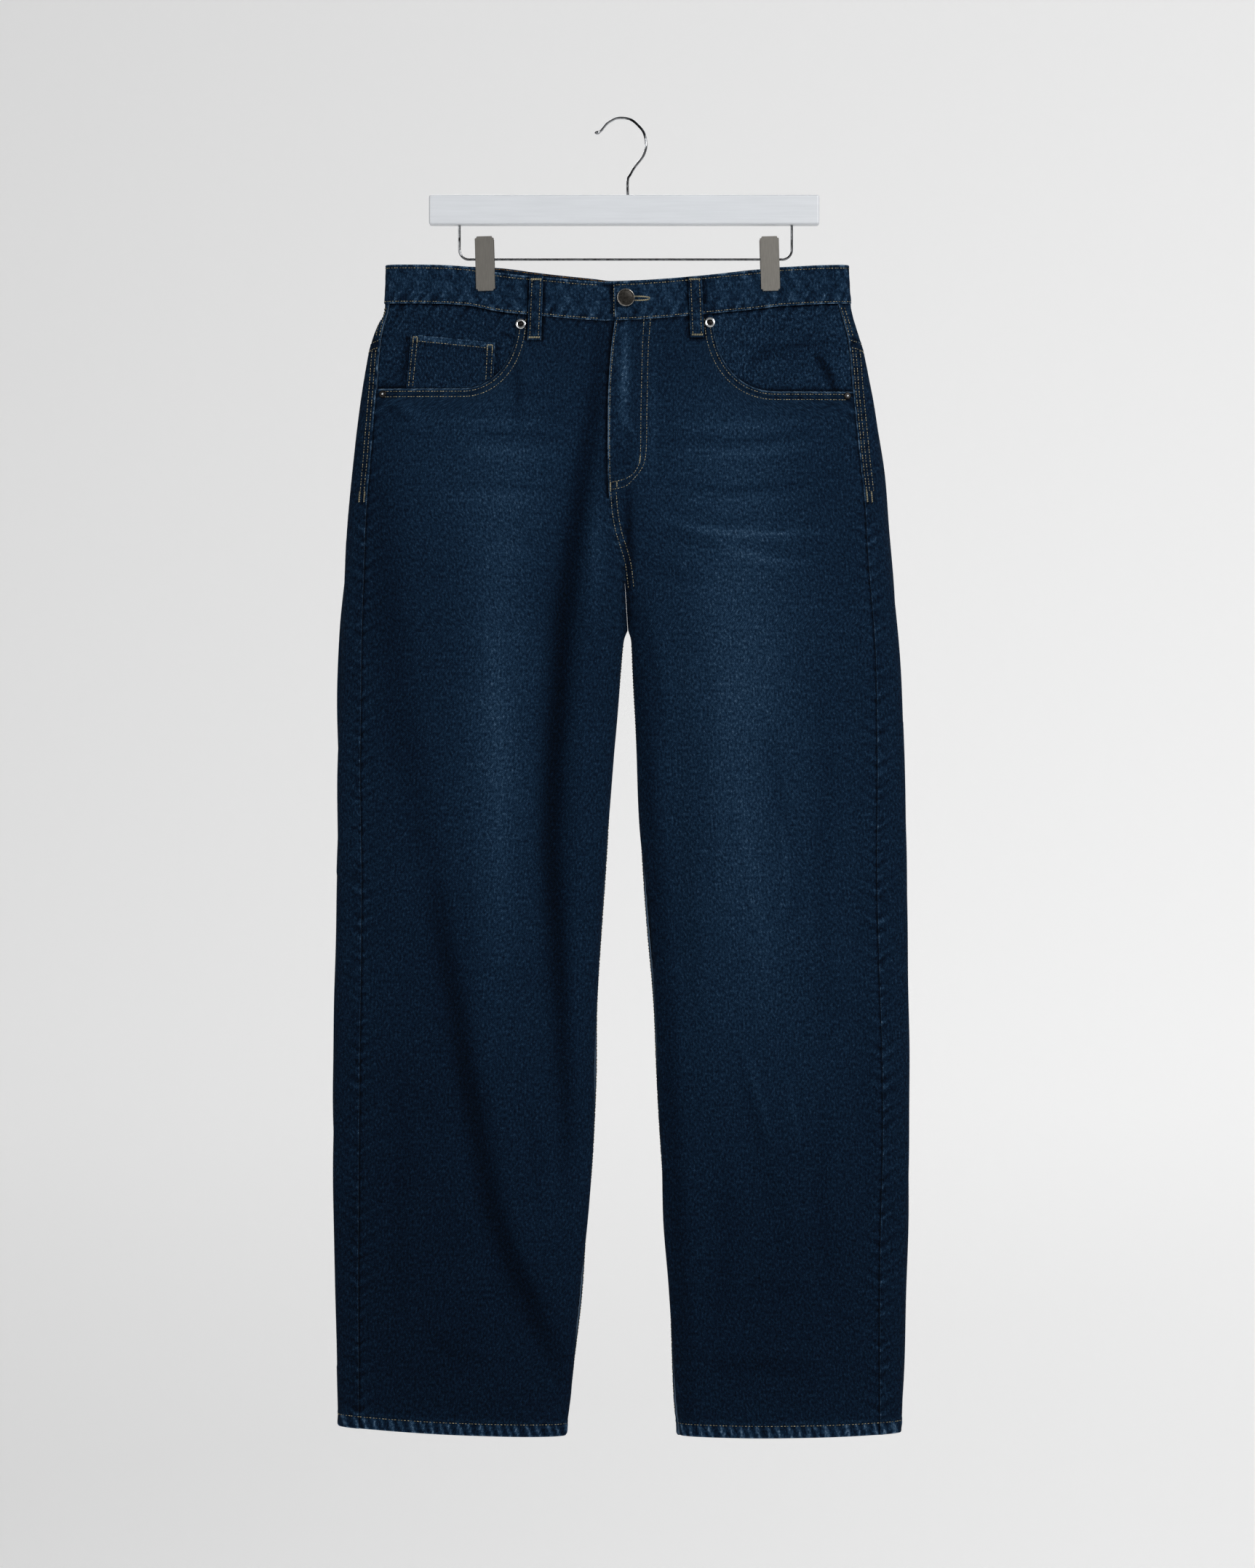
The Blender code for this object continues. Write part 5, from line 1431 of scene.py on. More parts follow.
def stand_on_cloth(thing, across, drop, lift, tilt=(0.0, 0.0)):
    """Set a turned piece on the front face with its axis outwards, tilted a little."""
    here, _ = on_face("front", across, drop, lift)
    step = 4.0
    beside = (on_face("front", across + step, drop, lift)[0]
              - on_face("front", across - step, drop, lift)[0])
    below = (on_face("front", across, drop + step, lift)[0]
             - on_face("front", across, drop - step, lift)[0])
    out = Vector(np.cross(beside, below)).normalized()
    if out.y > 0:
        out = -out
    out = (out + Vector((tilt[0], 0, tilt[1]))).normalized()
    turn = Vector((0, 0, 1)).rotation_difference(out).to_matrix().to_4x4()
    thing.data.transform(Matrix.Translation(Vector(here) * MM) @ turn)
    return thing


def tube(name, route, radii, painted_reflections, sides=20):
    """Round wire through a route of points in millimetres, with a painted reflection as a dark
    streak along it: rows of share of the length and strength."""
    route = np.array(route, float)
    across = np.array([0.0, 1.0, 0.0])
    normal = unit(np.cross(np.gradient(route, axis=0), across))
    angles = np.arange(sides) * 2 * math.pi / sides
    ring = (np.cos(angles)[None, :, None] * normal[:, None] + np.sin(angles)[None, :, None]
            * across[None, None])
    points = route[:, None] + ring * np.asarray(radii)[:, None, None]
    count = len(route)
    index = np.arange(count * sides).reshape(count, sides)
    after = np.roll(index, -1, axis=1)
    quads = np.stack([index[:-1], index[1:], after[1:], after[:-1]], -1).reshape(-1, 4)
    points = np.concatenate([points.reshape(-1, 3), route[:1], route[-1:]])
    first, last = count * sides, count * sides + 1
    caps = [(first, a, b) for a, b in zip(index[0], after[0])]
    caps += [(last, b, a) for a, b in zip(index[-1], after[-1])]
    thing = mesh_object(name, points * MM, quads, np.array(caps))
    turned = np.abs((angles - PAINTED_REFLECTION_ANGLE + math.pi) % (2 * math.pi) - math.pi)
    dark = read_curve(painted_reflections, np.linspace(0, 1, count))[:, None] * bump(turned, PAINTED_REFLECTION_WIDTH)
    give_values(thing, "streak", np.concatenate([dark.ravel(), dark[0, :1], dark[-1, :1]]))
    return thing


def feed(node, inputs):
    """Link nodes and sockets to a node's inputs; set anything else as the input's value."""
    for name, value in inputs.items():
        if isinstance(value, bpy.types.Node):
            value = value.outputs[0]
        if isinstance(value, bpy.types.NodeSocket):
            node.id_data.links.new(value, node.inputs[name])
        else:
            node.inputs[name].default_value = value


def add_node(tree, kind, inputs=None, stops=(), **settings):
    """Add a shader node with its settings, colour stops and inputs."""
    node = tree.nodes.new("ShaderNode" + kind)
    for name, value in settings.items():
        setattr(node, name, value)
    feed(node, inputs or {})
    for index, (place, colour) in enumerate(stops):
        elements = node.color_ramp.elements
        element = elements[index] if index < len(elements) else elements.new(place)
        element.position = place
        element.color = colour
    return node


def new_surface(name, inputs):
    """Material, its principled shader with constant values on its own sockets, and a way to add
    nodes to it."""
    material = bpy.data.materials.new(name)
    material.use_nodes = True
    shader = material.node_tree.nodes["Principled BSDF"]
    feed(shader, inputs)
    return material, shader, partial(add_node, material.node_tree)


def denim(name, look, shift, contrast, marbling=0.14):
    """Indigo cotton twill, ring spun and stone washed: the blue warp has worn to show its pale
    core on crests and edges, so the eye sees a dark mottled blue with fine slanted ribs."""
    material, shader, add = new_surface(name, {
        "Roughness": 0.92, "Specular IOR Level": 0.05, "IOR": 1.5, "Sheen Weight": look.fuzz,
        "Sheen Roughness": 0.5, "Sheen Tint": linear("#7f93ad")})
    weave = add("Attribute", attribute_name="weave").outputs["Vector"]
    fading_and_painted_shade, rim, inside = (add("Attribute", attribute_name=layer).outputs["Fac"]
                         for layer in ("fading_and_painted_shade", "rim", "inside"))
    # the real ribs stand 0.6 mm apart and would not show, so they are drawn coarser
    slanted = add("Mapping", {"Vector": weave, "Rotation": (0, 0, -0.785)})
    ribs = add("TexWave", {"Vector": slanted, "Scale": 0.314 / look.rib_spacing, "Detail": 2.0,
                           "Distortion": 1.6, "Detail Scale": 0.9, "Detail Roughness": 0.6},
               bands_direction="Y").outputs["Fac"]
    slubs, specks, mottle, clouds = (
        add("TexNoise", {"Vector": add("Mapping", {"Vector": weave, "Scale": (1, squeeze, 1)}),
                         "Scale": scale, "Detail": detail, "Roughness": roughness})
        for squeeze, scale, detail, roughness in (
            # warp yarns thicken and thin over about 12 mm of their length
            (0.10, 0.8, 3, 0.65),
            # specks of bared core, 2 mm across, drawn coarser than the real 0.5 mm
            (0.62, 0.52, 2, 0.8),
            # washing creases leave blotches about 9 mm and clouds about 60 mm across
            (1, 0.11, 4, 0.62), (1, 0.016, 2, 0.5)))
    # the cloth's own fading, with painted shade in folds, grooves, seams and laps, sets the tone
    tone = add("Math", {0: fading_and_painted_shade, 1: shift}, operation="ADD")
    for source, amount in ((ribs, 0.10), (slubs, 0.30), (specks, 1.25), (clouds, 0.08),
                           (mottle, marbling)):
        centred = add("Math", {0: source, 1: 0.5}, operation="SUBTRACT")
        tone = add("Math", {0: centred, 1: amount * contrast, 2: tone}, operation="MULTIPLY_ADD")
    # turned edges rub bare within 2 mm, most where a yarn stands proud
    ridge = add("MapRange", {"Value": rim, "From Min": 0.2, "From Max": 2.0, "To Min": 1.0,
                             "To Max": 0.0}, interpolation_type="SMOOTHSTEP")
    proud = add("MapRange", {"Value": slubs, "From Min": 0.36, "From Max": 0.62,
                             "To Min": 0.14, "To Max": 0.48})
    # puckers beside the seams take the blotches on more strongly
    beside = add("MapRange", {"Value": rim, "From Min": 2.0, "From Max": 14.0,
                              "To Min": 0.55, "To Max": 0.0})
    swollen = add("Math", {0: mottle, 1: 0.52}, operation="SUBTRACT")
    for share, amount in ((ridge, proud), (beside, swollen)):
        tone = add("Math", {0: share, 1: amount, 2: tone}, operation="MULTIPLY_ADD")
    colour = add("ValToRGB", {"Fac": tone}, (
        (0.05, look.unfaded_and_shade), (0.3, look.deep), (0.5, look.body), (0.68, look.washed),
        (0.84, look.worn), (1.0, look.bare)))
    pale = add("Mix", {0: inside, 6: colour, 7: look.reverse}, data_type="RGBA").outputs[2]
    height = ribs
    for source, amount in ((specks, 0.7), (slubs, 0.8)):
        height = add("Math", {0: source, 1: amount, 2: height}, operation="MULTIPLY_ADD")
    normal = add("Bump", {"Height": height, "Strength": 0.55, "Distance": 0.00035})
    feed(shader, {"Base Color": pale, "Normal": normal})
    return material


def thread_surface(name, shade, body, light):
    """Cotton-wrapped polyester sewing thread, dyed and washed down: short dull strands of
    uneven tone."""
    material, shader, add = new_surface(name, {"Roughness": 0.7, "Specular IOR Level": 0.15})
    tone = add("Attribute", attribute_name="tone").outputs["Fac"]
    place = add("TexCoord").outputs["Object"]
    # grime gathers in patches about 11 mm long
    grime = add("TexNoise", {"Vector": place, "Scale": 90.0, "Detail": 3.0})
    shifted = add("Math", {0: grime, 1: 0.25}, operation="SUBTRACT")
    mixed = add("Math", {0: tone, 1: 0.45, 2: shifted}, operation="MULTIPLY_ADD")
    colour = add("ValToRGB", {"Fac": mixed}, ((0.1, shade), (0.5, body), (0.85, light)))
    # plies of the thread, 0.4 mm apart
    twist = add("TexNoise", {"Vector": place, "Scale": 2600.0})
    normal = add("Bump", {"Height": twist, "Strength": 0.4, "Distance": 0.0001})
    feed(shader, {"Base Color": colour, "Normal": normal})
    return material


# A metal's constants
METAL = {"Metallic": 1.0}


def grained(name, constants, stops, gloss, grain_size, stretch=(1, 1, 1), rough=0.6,
            strength=0.12, depth=0.0001):
    """Finish whose tone and gloss vary with a fine grain, whose size is in millimetres; a
    piece's own streak values darken it, as a painted reflection on the wires, or, below 0, rub it
    bright."""
    material, shader, add = new_surface(name, constants)
    place = add("TexCoord").outputs["Object"]
    streak = add("Attribute", attribute_name="streak").outputs["Fac"]
    mapped = add("Mapping", {"Vector": place, "Scale": stretch})
    grain = add("TexNoise", {"Vector": mapped, "Scale": 1 / MM / grain_size, "Detail": 4.0,
                             "Roughness": rough})
    tone = add("Math", {0: grain, 1: streak}, operation="SUBTRACT")
    colour = add("ValToRGB", {"Fac": tone}, stops)
    roughness = add("MapRange", {"Value": grain, "To Min": gloss[0], "To Max": gloss[1]})
    normal = add("Bump", {"Height": grain, "Strength": strength, "Distance": depth})
    feed(shader, {"Base Color": colour, "Roughness": roughness, "Normal": normal})
    return material


def colour_choice(name, default, description):
    """Colour setting whose default is a hex sRGB colour."""
    return bpy.props.FloatVectorProperty(name=name, description=description, subtype="COLOR",
                                         size=4, min=0.0, max=1.0, default=linear(default))


def number_choice(name, default, low, high, description, **kind):
    """Number setting with its range, and its unit or subtype."""
    return bpy.props.FloatProperty(name=name, description=description, default=default, min=low,
                                   max=high, **kind)


def length_choice(name, default, low, high, description):
    """Length setting given in millimetres."""
    return number_choice(name, default * MM, low * MM, high * MM, description, unit="LENGTH",
                         precision=5)


class JeansDenimSettings(bpy.types.PropertyGroup):
    """Denim's look."""

    rib_spacing: number_choice("Rib spacing", 1.25, 0.5, 3.0, "Millimetres between twill ribs")
    fuzz: number_choice("Fuzz", 0.02, 0.0, 1.0, "How much light the cotton's loose fibres catch",
                        subtype="FACTOR")
    denim_tone: number_choice("Denim tone", 0.44, 0.0, 1.0, "Tone of the legs and waistband",
                              subtype="FACTOR")
    facing_tone: number_choice("Facing tone", 0.50, 0.0, 1.0, "Tone of the pocket facings",
                               subtype="FACTOR")
    grid_step: number_choice("Grid step", 1.0, 0.5, 4.0, "How much coarser the cloth's grids are")
    # darkest stop: unfaded indigo, and painted shade in folds and seams
    unfaded_and_shade: colour_choice("Unwashed", "#01050d", "Indigo deep in folds and seams")
    deep: colour_choice("Deep", "#040f1e", "Darkest indigo of the open cloth")
    body: colour_choice("Body", "#0a1c2e", "Most of the cloth")
    washed: colour_choice("Washed", "#172c41", "Indigo of the thighs and crests")
    worn: colour_choice("Worn", "#2b4157", "Indigo that has rubbed thin")
    bare: colour_choice("Bare", "#52677b", "Cotton core on chafed edges")
    reverse: colour_choice("Reverse", "#55677a", "Undyed weft on the inside")


class JeansStitchSettings(bpy.types.PropertyGroup):
    """Sewing thread."""

    pitch: length_choice("Stitch length", 2.7, 1.0, 6.0, "Length of one stitch")
    thickness: length_choice("Thread thickness", 0.54, 0.2, 1.5, "Thickness of the thread")
    tan_shade: colour_choice("Tan, dark", "#4b4a3d", "Darkest tan stitches")
    tan_body: colour_choice("Tan", "#868069", "Most of the tan stitches")
    tan_light: colour_choice("Tan, light", "#b6ac8b", "Lightest tan stitches")
    gold_shade: colour_choice("Gold, dark", "#3b2c17", "Darkest stitches of the chain row")
    gold_body: colour_choice("Gold", "#7c5c2c", "Most of the chain row inside the waistband")
    gold_light: colour_choice("Gold, light", "#a9823f", "Lightest stitches of the chain row")


class JeansTrimSettings(bpy.types.PropertyGroup):
    """Button's and rivets' sizes and finishes."""

    button_radius: length_choice("Button radius", BUTTON[2], 5, 12, "Radius of the button's cap")
    rivet_radius: length_choice("Rivet radius", RIVETS[0][3], 3, 8, "Radius of the pocket rivets")
    pewter_dull: colour_choice("Pewter, dull", "#2b2927", "Antique plate in its hollows")
    pewter_bright: colour_choice("Pewter", "#4f4c48", "Most of the button's antique plate")
    pewter_rubbed: colour_choice("Pewter, rubbed", "#b5b1aa", "Rim where the plate is rubbed")
    silver_dull: colour_choice("Silver, dull", "#a9abac", "Shaded tone of the rivet rings")
    silver_bright: colour_choice("Silver", "#dadcdd", "Bright tone of the rivet rings")
    steel_dull: colour_choice("Steel, dull", "#121111", "Shaded tone of the blackened steel")
    steel_bright: colour_choice("Steel", "#2c2a29", "Bright tone of the blackened steel")


class JeansHangerSettings(bpy.types.PropertyGroup):
    """Hanger's size and finishes."""

    wire_radius: length_choice("Wire radius", WIRE_RADIUS, 0.5, 3, "Radius of the hook and wire")
    bar_white: colour_choice("Bar", "#cdd0d4", "Lacquer of the bar")
    bar_shade: colour_choice("Bar, shade", "#c5c8cc", "Lacquer over the bar's grain lines")
    # painted reflection of a dark room, as a streak along the wires
    chrome_painted_reflection: colour_choice("Chrome, streak", "#0d0e10", "Dark streak along the wires")
    chrome_dull: colour_choice("Chrome, dull", "#97999c", "Shaded tone of the chrome")
    chrome_bright: colour_choice("Chrome", "#c4c6c9", "Bright tone of the chrome")
    nickel_dull: colour_choice("Nickel, dull", "#76736e", "Shaded tone of the clips")
    nickel_bright: colour_choice("Nickel", "#8a8781", "Bright tone of the clips")


class JeansStudioSettings(bpy.types.PropertyGroup):
    """Studio, lights and camera."""

    key_power: number_choice("Key light", 92.0, 0.0, 999.0, "Large soft light in front",
                             unit="POWER")
    fill_power: number_choice("Fill light", 24.0, 0.0, 999.0, "Soft light from the left",
                              unit="POWER")
    room_light: number_choice("Room light", 0.22, 0.0, 9.0, "Strength of the pale room around")
    wall_glow: number_choice("Wall glow", 0.46, 0.0, 9.0, "How strongly the wall lights itself")
    distance: number_choice("Camera distance", VIEW_DISTANCE, 0.5, 20.0,
                            "From the camera to the hanger", unit="LENGTH")
    # painted light on the wall: darker at the left and brighter at the right
    wall_shaded_left: colour_choice("Wall, left", "#dcdcdc", "Paint at the left of the photograph")
    wall_lit_right: colour_choice("Wall, right", "#ededed", "Paint at the right of the photograph")
    room: colour_choice("Room", "#f4f4f4", "Light that comes from all round")


def fine_step(context):
    return context.scene.jeans_denim.grid_step * 1.0


class JEANS_OT_legs(bpy.types.Operator):
    """Build the front and back panels and the yokes"""

    bl_idname = "jeans.legs"
    bl_label = "Legs and yokes"

    def execute(self, context):
        look = context.scene.jeans_denim
        material = denim("indigo_ring_spun_denim", look, look.denim_tone, 1.0)
        fine = fine_step(context)
        for side in SIDES:
            cloth_piece(front_panel(side, fine), "front_panel_" + side, material)
            cloth_piece(back_panel(side, fine), "back_panel_" + side, material)
            cloth_piece(back_yoke(side, fine), "back_yoke_" + side, material)
        return {"FINISHED"}


class JEANS_OT_pockets(bpy.types.Operator):
    """Build the pocket facings, the coin pocket and the back pockets"""

    bl_idname = "jeans.pockets"
    bl_label = "Pockets"

    def execute(self, context):
        look = context.scene.jeans_denim
        dark = denim("unfaded_facing_denim", look, look.facing_tone, 1.3)
        body = bpy.data.materials["indigo_ring_spun_denim"]
        fine = fine_step(context)
        for side in SIDES:
            cloth_piece(pocket_facing(side, fine), "pocket_facing_" + side, dark,
                        "denim_facing")
            cloth_piece(back_pocket(side, fine), "back_pocket_" + side, body)
        cloth_piece(coin_pocket(fine), "coin_pocket", dark,
                    "denim_facing")
        return {"FINISHED"}


class JEANS_OT_waistband(bpy.types.Operator):
    """Build the waistband"""

    bl_idname = "jeans.waistband"
    bl_label = "Waistband"

    def execute(self, context):
        look = context.scene.jeans_denim
        material = denim("waistband_denim", look, look.denim_tone, 1.05, 0.44)
        cloth_piece(waistband(), "waistband", material)
        return {"FINISHED"}


class JEANS_OT_belt_loops(bpy.types.Operator):
    """Build the five belt loops"""

    bl_idname = "jeans.belt_loops"
    bl_label = "Belt loops"

    def execute(self, context):
        material = bpy.data.materials["waistband_denim"]
        for name, *place in LOOPS:
            cloth_piece(belt_loop(*place), name, material)
        return {"FINISHED"}


class JEANS_OT_stitching(bpy.types.Operator):
    """Sew every visible row of stitches and the bartacks"""

    bl_idname = "jeans.stitching"
    bl_label = "Stitching"

    def execute(self, context):
        look = context.scene.jeans_stitch
        tan = thread_surface("washed_tan_thread", look.tan_shade, look.tan_body, look.tan_light)
        gold = thread_surface("gold_chain_thread", look.gold_shade, look.gold_body,
                              look.gold_light)
        groups = (
            ("waistband_stitches", (band_stitches, loop_stitches), tan),
            ("front_stitches", (fly_stitches, mouth_stitches, side_stitches), tan),
            ("leg_stitches", (leg_stitches,), tan),
            ("rear_stitches", (rear_stitches,), tan),
            ("inner_band_stitches", (chain_inside,), gold),
        )
        for name, sewers, material in groups:
            thread = Thread(look.pitch / MM, look.thickness / MM)
            for sew in sewers:
                sew(thread)
            dress(thread.build(name), material, None)
        return {"FINISHED"}


class JEANS_OT_trim(bpy.types.Operator):
    """Set the tack button and the rivets"""

    bl_idname = "jeans.trim"
    bl_label = "Button and rivets"

    def execute(self, context):
        look = context.scene.jeans_trim
        # zinc alloy, antique plated and tumbled: a dark satin face with brighter rubbed rims
        pewter = grained("antique_pewter_plate", METAL, (
            (0.3, look.pewter_dull), (0.7, look.pewter_bright), (1.0, look.pewter_rubbed)),
            (0.28, 0.40), 1.4)
        # steel, nickel plated and polished: a bright silver ring
        silver = grained("polished_nickel_plate", METAL, (
            (0.3, look.silver_dull), (0.7, look.silver_bright)), (0.16, 0.28), 2.0)
        # steel, blackened in an oxide bath: nearly black, with a dull gloss
        steel = grained("blackened_steel", METAL, (
            (0.3, look.steel_dull), (0.7, look.steel_bright)), (0.36, 0.48), 1.4)
        across, drop, radius = BUTTON
        size = look.button_radius / MM / radius
        lift = BAND_PROUD + BAND_WALL + LAYER_GAP + 0.4
        cap = lathe("tack_button_cap", BUTTON_CAP, 64, size)
        out = np.array([math.hypot(*v.co.xy) for v in cap.data.vertices]) / MM / size
        high = np.array([v.co.z for v in cap.data.vertices]) / MM / size
        give_values(cap, "streak", -0.5 * bump(out - 7.95, 0.35) * (high > 3))
        dress(stand_on_cloth(cap, across, drop, lift, (0.03, -0.10)), pewter, "pewter",
              "tack_button")
        for name, across, drop, radius in RIVETS:
            pieces = ((RIVET_RING, "_ring", silver), (RIVET_NUB, "_nub", steel))
            size = look.rivet_radius / MM / RIVETS[0][3]
            if radius < 4:
                pieces = ((SMALL_DISC, "_disc", steel), (SMALL_NUB, "_nub", silver))
                size = 1.0
            for profile, ending, finish in pieces:
                piece = stand_on_cloth(lathe(name + ending, profile, 48, size), across, drop, 0.5)
                slot = "silver" if finish is silver else "pewter"
                dress(piece, finish, slot, *([name] if ending in ("_ring", "_disc") else []))
        return {"FINISHED"}


def smooth_route(knots, count):
    """Route in millimetres through knots of across and drop."""
    rows = [(index, *place) for index, place in enumerate(knots)]
    at = np.linspace(0, len(knots) - 1, count)
    return np.stack([read_curve(rows, at, 1), 0 * at, -read_curve(rows, at, 2)], 1)


def face_place(face):
    """Number that orders the faces of a small mesh by their three lowest vertices."""
    first, second, third = sorted(vertex.index for vertex in face.verts)[:3]
    return (first * 1000 + second) * 1000 + third


def clip_jaw(name, across, facing, out):
    """Pressed plate with rolled edges and a bent lip at its top, one jaw of a clip."""
    height = PLATE_BOTTOM_DROP - PLATE_TOP_DROP
    mesh = bmesh.new()
    bmesh.ops.create_cube(mesh, size=1.0, matrix=Matrix.Diagonal(
        (PLATE_WIDTH * MM, PLATE_WALL * MM, height * MM, 1)))
    half_wall = PLATE_WALL * MM / 2
    upright = [e for e in mesh.edges if abs(e.verts[0].co.y - e.verts[1].co.y) > half_wall]
    bmesh.ops.bevel(mesh, geom=upright, offset=1.6 * MM, segments=5, affect="EDGES")
    rims = [e for e in mesh.edges if e.calc_face_angle(0) > 1.2]
    bmesh.ops.bevel(mesh, geom=rims, offset=0.35 * MM, segments=3, affect="EDGES")
    # a bevel lists its corner faces in an order that changes from run to run
    mesh.verts.index_update()
    mesh.faces.sort(key=face_place)
    centre = (PLATE_TOP_DROP + PLATE_BOTTOM_DROP) / 2
    turn = Matrix.Rotation(math.radians(-PLATE_LEAN), 4, "Y")
    place = Matrix.Translation(Vector((across, facing * (out + PLATE_WALL / 2), -centre)) * MM)
    jaw = from_bmesh(name, mesh, 35)
    jaw.data.transform(place @ turn)
    return jaw


class JEANS_OT_hanger(bpy.types.Operator):
    """Finish the bar, bend the hook and the wire, and press the clips"""

    bl_idname = "jeans.hanger"
    bl_label = "Hanger"

    def execute(self, context):
        look = context.scene.jeans_hanger
        # drawn steel wire, chrome plated: a bright reflection, with a painted reflection of a dark
        # room as a dark streak along it
        chrome = grained("chrome_plated_wire", METAL, (
            (0.0, look.chrome_painted_reflection), (0.3, look.chrome_dull), (0.7, look.chrome_bright)),
            (0.07, 0.13), 3.3)
        # pressed steel, nickel plated and brushed along its length: a soft grey with fine lines
        nickel = grained("brushed_nickel_plate", METAL, (
            (0.3, look.nickel_dull), (0.7, look.nickel_bright)), (0.36, 0.48), 1.1, (6, 1, 0.15))
        # beech sprayed with white satin lacquer: an even cool white, with faint grain lines
        # 2.4 mm apart and about 50 mm long
        lacquer = grained("white_lacquered_beech", {
            "IOR": 1.5, "Coat Weight": 0.15, "Coat Roughness": 0.25}, (
            (0.25, look.bar_shade), (0.75, look.bar_white)), (0.34, 0.46), 1 / 0.42,
            (0.05, 1, 1), 0.5, 0.05, 0.0002)
        coat("hanger_bar", lacquer)
        radius = look.wire_radius / MM
        route = smooth_route(HOOK_ROUTE, 180)
        radii = np.full(len(route), radius)
        radii[-14:] = radius * np.array([1.0, 1.05, 1.15, 1.3, 1.45, 1.55, 1.6, 1.6, 1.55, 1.45,
                                         1.3, 1.05, 0.7, 0.3])
        dress(tube("hook_wire", route, radii, HOOK_PAINTED_REFLECTIONS), chrome, "chrome", "hook")
        left, right = CROSS_WIRE_ENDS
        bend = CROSS_WIRE_BEND
        top = -(BAR_TOP_DROP + BAR_HEIGHT - SOCKET_DEPTH * 0.6)
        level = -CROSS_WIRE_DROP
        line = [(left, 0, z) for z in np.linspace(top, level + bend, 8)]
        for centre, first in ((left + bend, 180), (right - bend, 270)):
            for angle in np.radians(np.linspace(first, first + 90, 14)[1:]):
                line.append((centre + bend * math.cos(angle), 0,
                             level + bend + bend * math.sin(angle)))
            if centre < 0:
                line += [(x, 0, level) for x in np.linspace(left + bend, right - bend, 60)[1:]]
        line += [(right, 0, z) for z in np.linspace(level + bend, top, 8)[1:]]
        wire = tube("cross_wire_bent", line, np.full(len(line), radius), CROSS_WIRE_PAINTED_REFLECTIONS)
        dress(wire, chrome, "chrome", "cross_wire")
        for side, across in CLIPS.items():
            point, _ = on_face("front", across, 150.0, BAND_PROUD)
            reach = abs(point[1]) + PLATE_GAP
            for facing, face in ((-1, "front"), (1, "back")):
                node = f"clip_{face}_plate_{side}"
                jaw = clip_jaw(node + "_pressed", across, facing, reach)
                dress(jaw, nickel, "nickel", node)
            coat("clip_barrel_" + side, nickel)
        return {"FINISHED"}


def coat(node, material):
    """Give one of the pack's own nodes its material."""
    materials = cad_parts[node].data.materials
    materials.clear()
    materials.append(material)


def area_light(name, place, size, power):
    """Soft rectangular light aimed at the middle of the jeans, in metres."""
    data = bpy.data.lights.new(name, "AREA")
    data.shape = "RECTANGLE"
    data.size, data.size_y = size
    data.energy = power
    lamp = bpy.data.objects.new(name, data)
    lamp.location = place
    aim = Vector((0.0, 0.0, -0.6)) - Vector(place)
    lamp.rotation_euler = aim.to_track_quat("-Z", "Y").to_euler()
    bpy.context.scene.collection.objects.link(lamp)


def studio_sweep():
    """Pale floor that curves up into a wall far behind the hanger."""
    profile = [(-6.0, -2.6)]
    profile += [(y, -2.6) for y in np.linspace(-5, 4.2, 12)]
    profile += [(4.2 + 1.2 * math.sin(a), -2.6 + 1.2 * (1 - math.cos(a)))
                for a in np.linspace(0, math.pi / 2, 12)[1:]]
    profile += [(5.4, z) for z in np.linspace(-1.2, 4.0, 8)]
    profile = np.array(profile)
    xs = np.linspace(-8, 8, 9)
    grid = np.array([[(x, y, z) for y, z in profile] for x in xs])
    index = np.arange(len(xs) * len(profile)).reshape(len(xs), -1)
    faces = np.stack([index[:-1, :-1], index[1:, :-1], index[1:, 1:], index[:-1, 1:]], -1)
    return mesh_object("studio_sweep", grid.reshape(-1, 3), faces.reshape(-1, 4),
                       sharp_angle=CLOTH_SHARP)


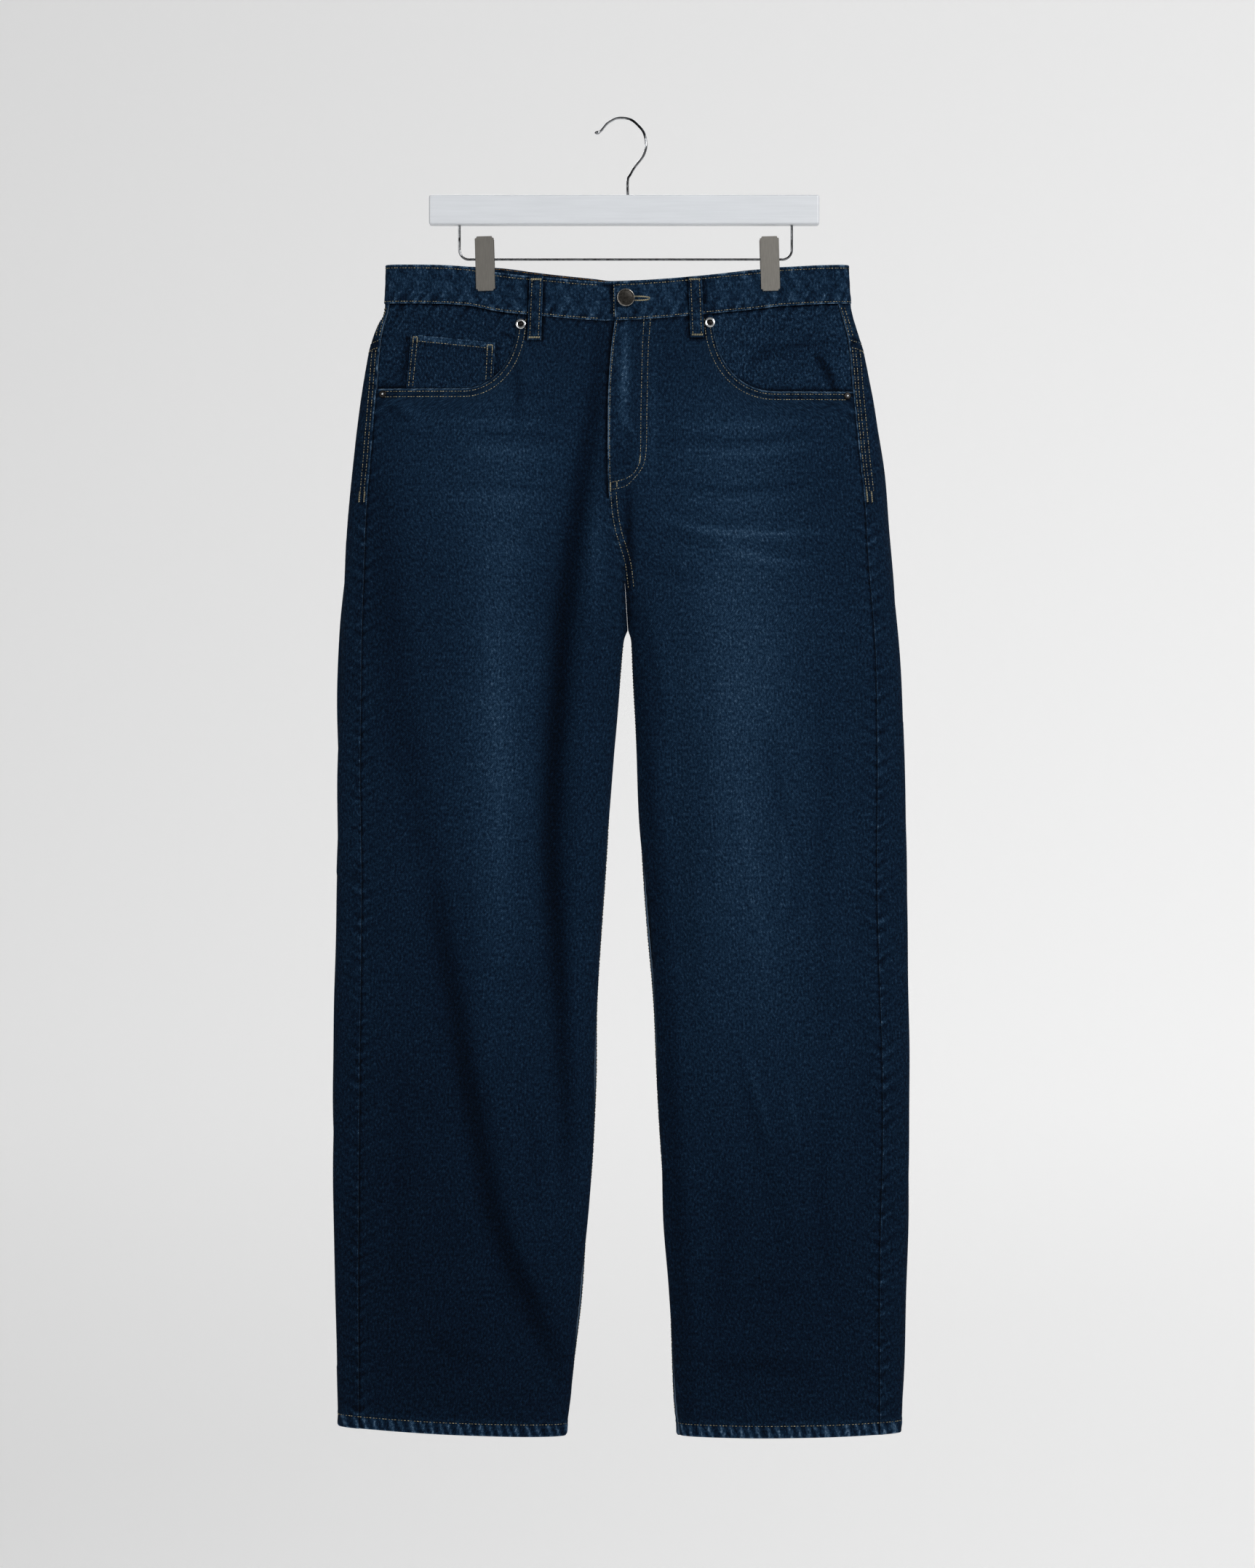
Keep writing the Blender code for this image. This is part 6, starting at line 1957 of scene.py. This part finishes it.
class JEANS_OT_studio(bpy.types.Operator):
    """Set up the pale studio, the soft lights and the camera"""

    bl_idname = "jeans.studio"
    bl_label = "Studio"

    def execute(self, context):
        look = context.scene.jeans_studio
        # studio wall: matt paint that also glows by its own emission, with painted light that
        # makes it slowly brighter from left to right
        material, shader, add = new_surface(
            "glowing_studio_paint_with_painted_light", {"Roughness": 0.95, "Specular IOR Level": 0.1})
        place = add("TexCoord").outputs["Object"]
        across = add("SeparateXYZ", {0: place}).outputs["X"]
        share = add("MapRange", {"Value": across, "From Min": -1.6, "From Max": 1.6})
        tone = add("ValToRGB", {"Fac": share}, ((0.0, look.wall_shaded_left), (1.0, look.wall_lit_right)))
        feed(shader, {"Base Color": tone, "Emission Color": tone,
                      "Emission Strength": look.wall_glow})
        sweep = studio_sweep()
        sweep.data.materials.append(material)
        area_light("key_light", (1.7, -2.5, 1.3), (1.6, 1.6), look.key_power)
        area_light("fill_light", (-2.0, -2.2, -0.1), (1.4, 1.8), look.fill_power)
        area_light("rear_light", (-0.6, 3.4, 1.2), (1.8, 1.4), look.key_power * 0.5)
        world = bpy.data.worlds.new("pale_room")
        world.use_nodes = True
        sky = world.node_tree.nodes["Background"]
        sky.inputs["Color"].default_value = look.room
        sky.inputs["Strength"].default_value = look.room_light
        context.scene.world = world
        data = bpy.data.cameras.new("photo_camera")
        data.lens = 85.0
        data.sensor_width = 36.0
        data.clip_end = 60.0
        camera = bpy.data.objects.new("photo_camera", data)
        camera.location = (VIEW_ACROSS, -look.distance, VIEW_HEIGHT)
        camera.rotation_euler = (math.radians(90), 0, 0)
        context.scene.collection.objects.link(camera)
        context.scene.camera = camera
        context.scene.view_settings.view_transform = "Standard"
        return {"FINISHED"}


class JEANS_PT_build(bpy.types.Panel):
    """Lists the pieces that can be built"""

    bl_idname = "JEANS_PT_build"
    bl_label = "Loose fit jeans"
    bl_space_type = "VIEW_3D"
    bl_region_type = "UI"
    bl_category = "Jeans"

    def draw(self, context):
        for step in STEPS:
            self.layout.operator(step.bl_idname)
        for name in GROUPS:
            group = getattr(context.scene, name)
            for setting in group.__annotations__:
                self.layout.prop(group, setting)


GROUPS = {"jeans_denim": JeansDenimSettings, "jeans_stitch": JeansStitchSettings,
          "jeans_trim": JeansTrimSettings, "jeans_hanger": JeansHangerSettings,
          "jeans_studio": JeansStudioSettings}
STEPS = (JEANS_OT_legs, JEANS_OT_pockets, JEANS_OT_waistband, JEANS_OT_belt_loops,
         JEANS_OT_stitching, JEANS_OT_trim, JEANS_OT_hanger, JEANS_OT_studio)


def register():
    """Register the settings, operators and panel."""
    for item in (*GROUPS.values(), *STEPS, JEANS_PT_build):
        bpy.utils.register_class(item)
    for name, group in GROUPS.items():
        setattr(bpy.types.Scene, name, bpy.props.PointerProperty(type=group))


def unregister():
    """Remove the settings, operators and panel."""
    for name in GROUPS:
        delattr(bpy.types.Scene, name)
    for item in reversed((*GROUPS.values(), *STEPS, JEANS_PT_build)):
        bpy.utils.unregister_class(item)


def main():
    """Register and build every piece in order."""
    register()
    for step in STEPS:
        group, name = step.bl_idname.split(".")
        getattr(getattr(bpy.ops, group), name)()
    bpy.context.view_layer.update()


if __name__ == "__main__":
    main()
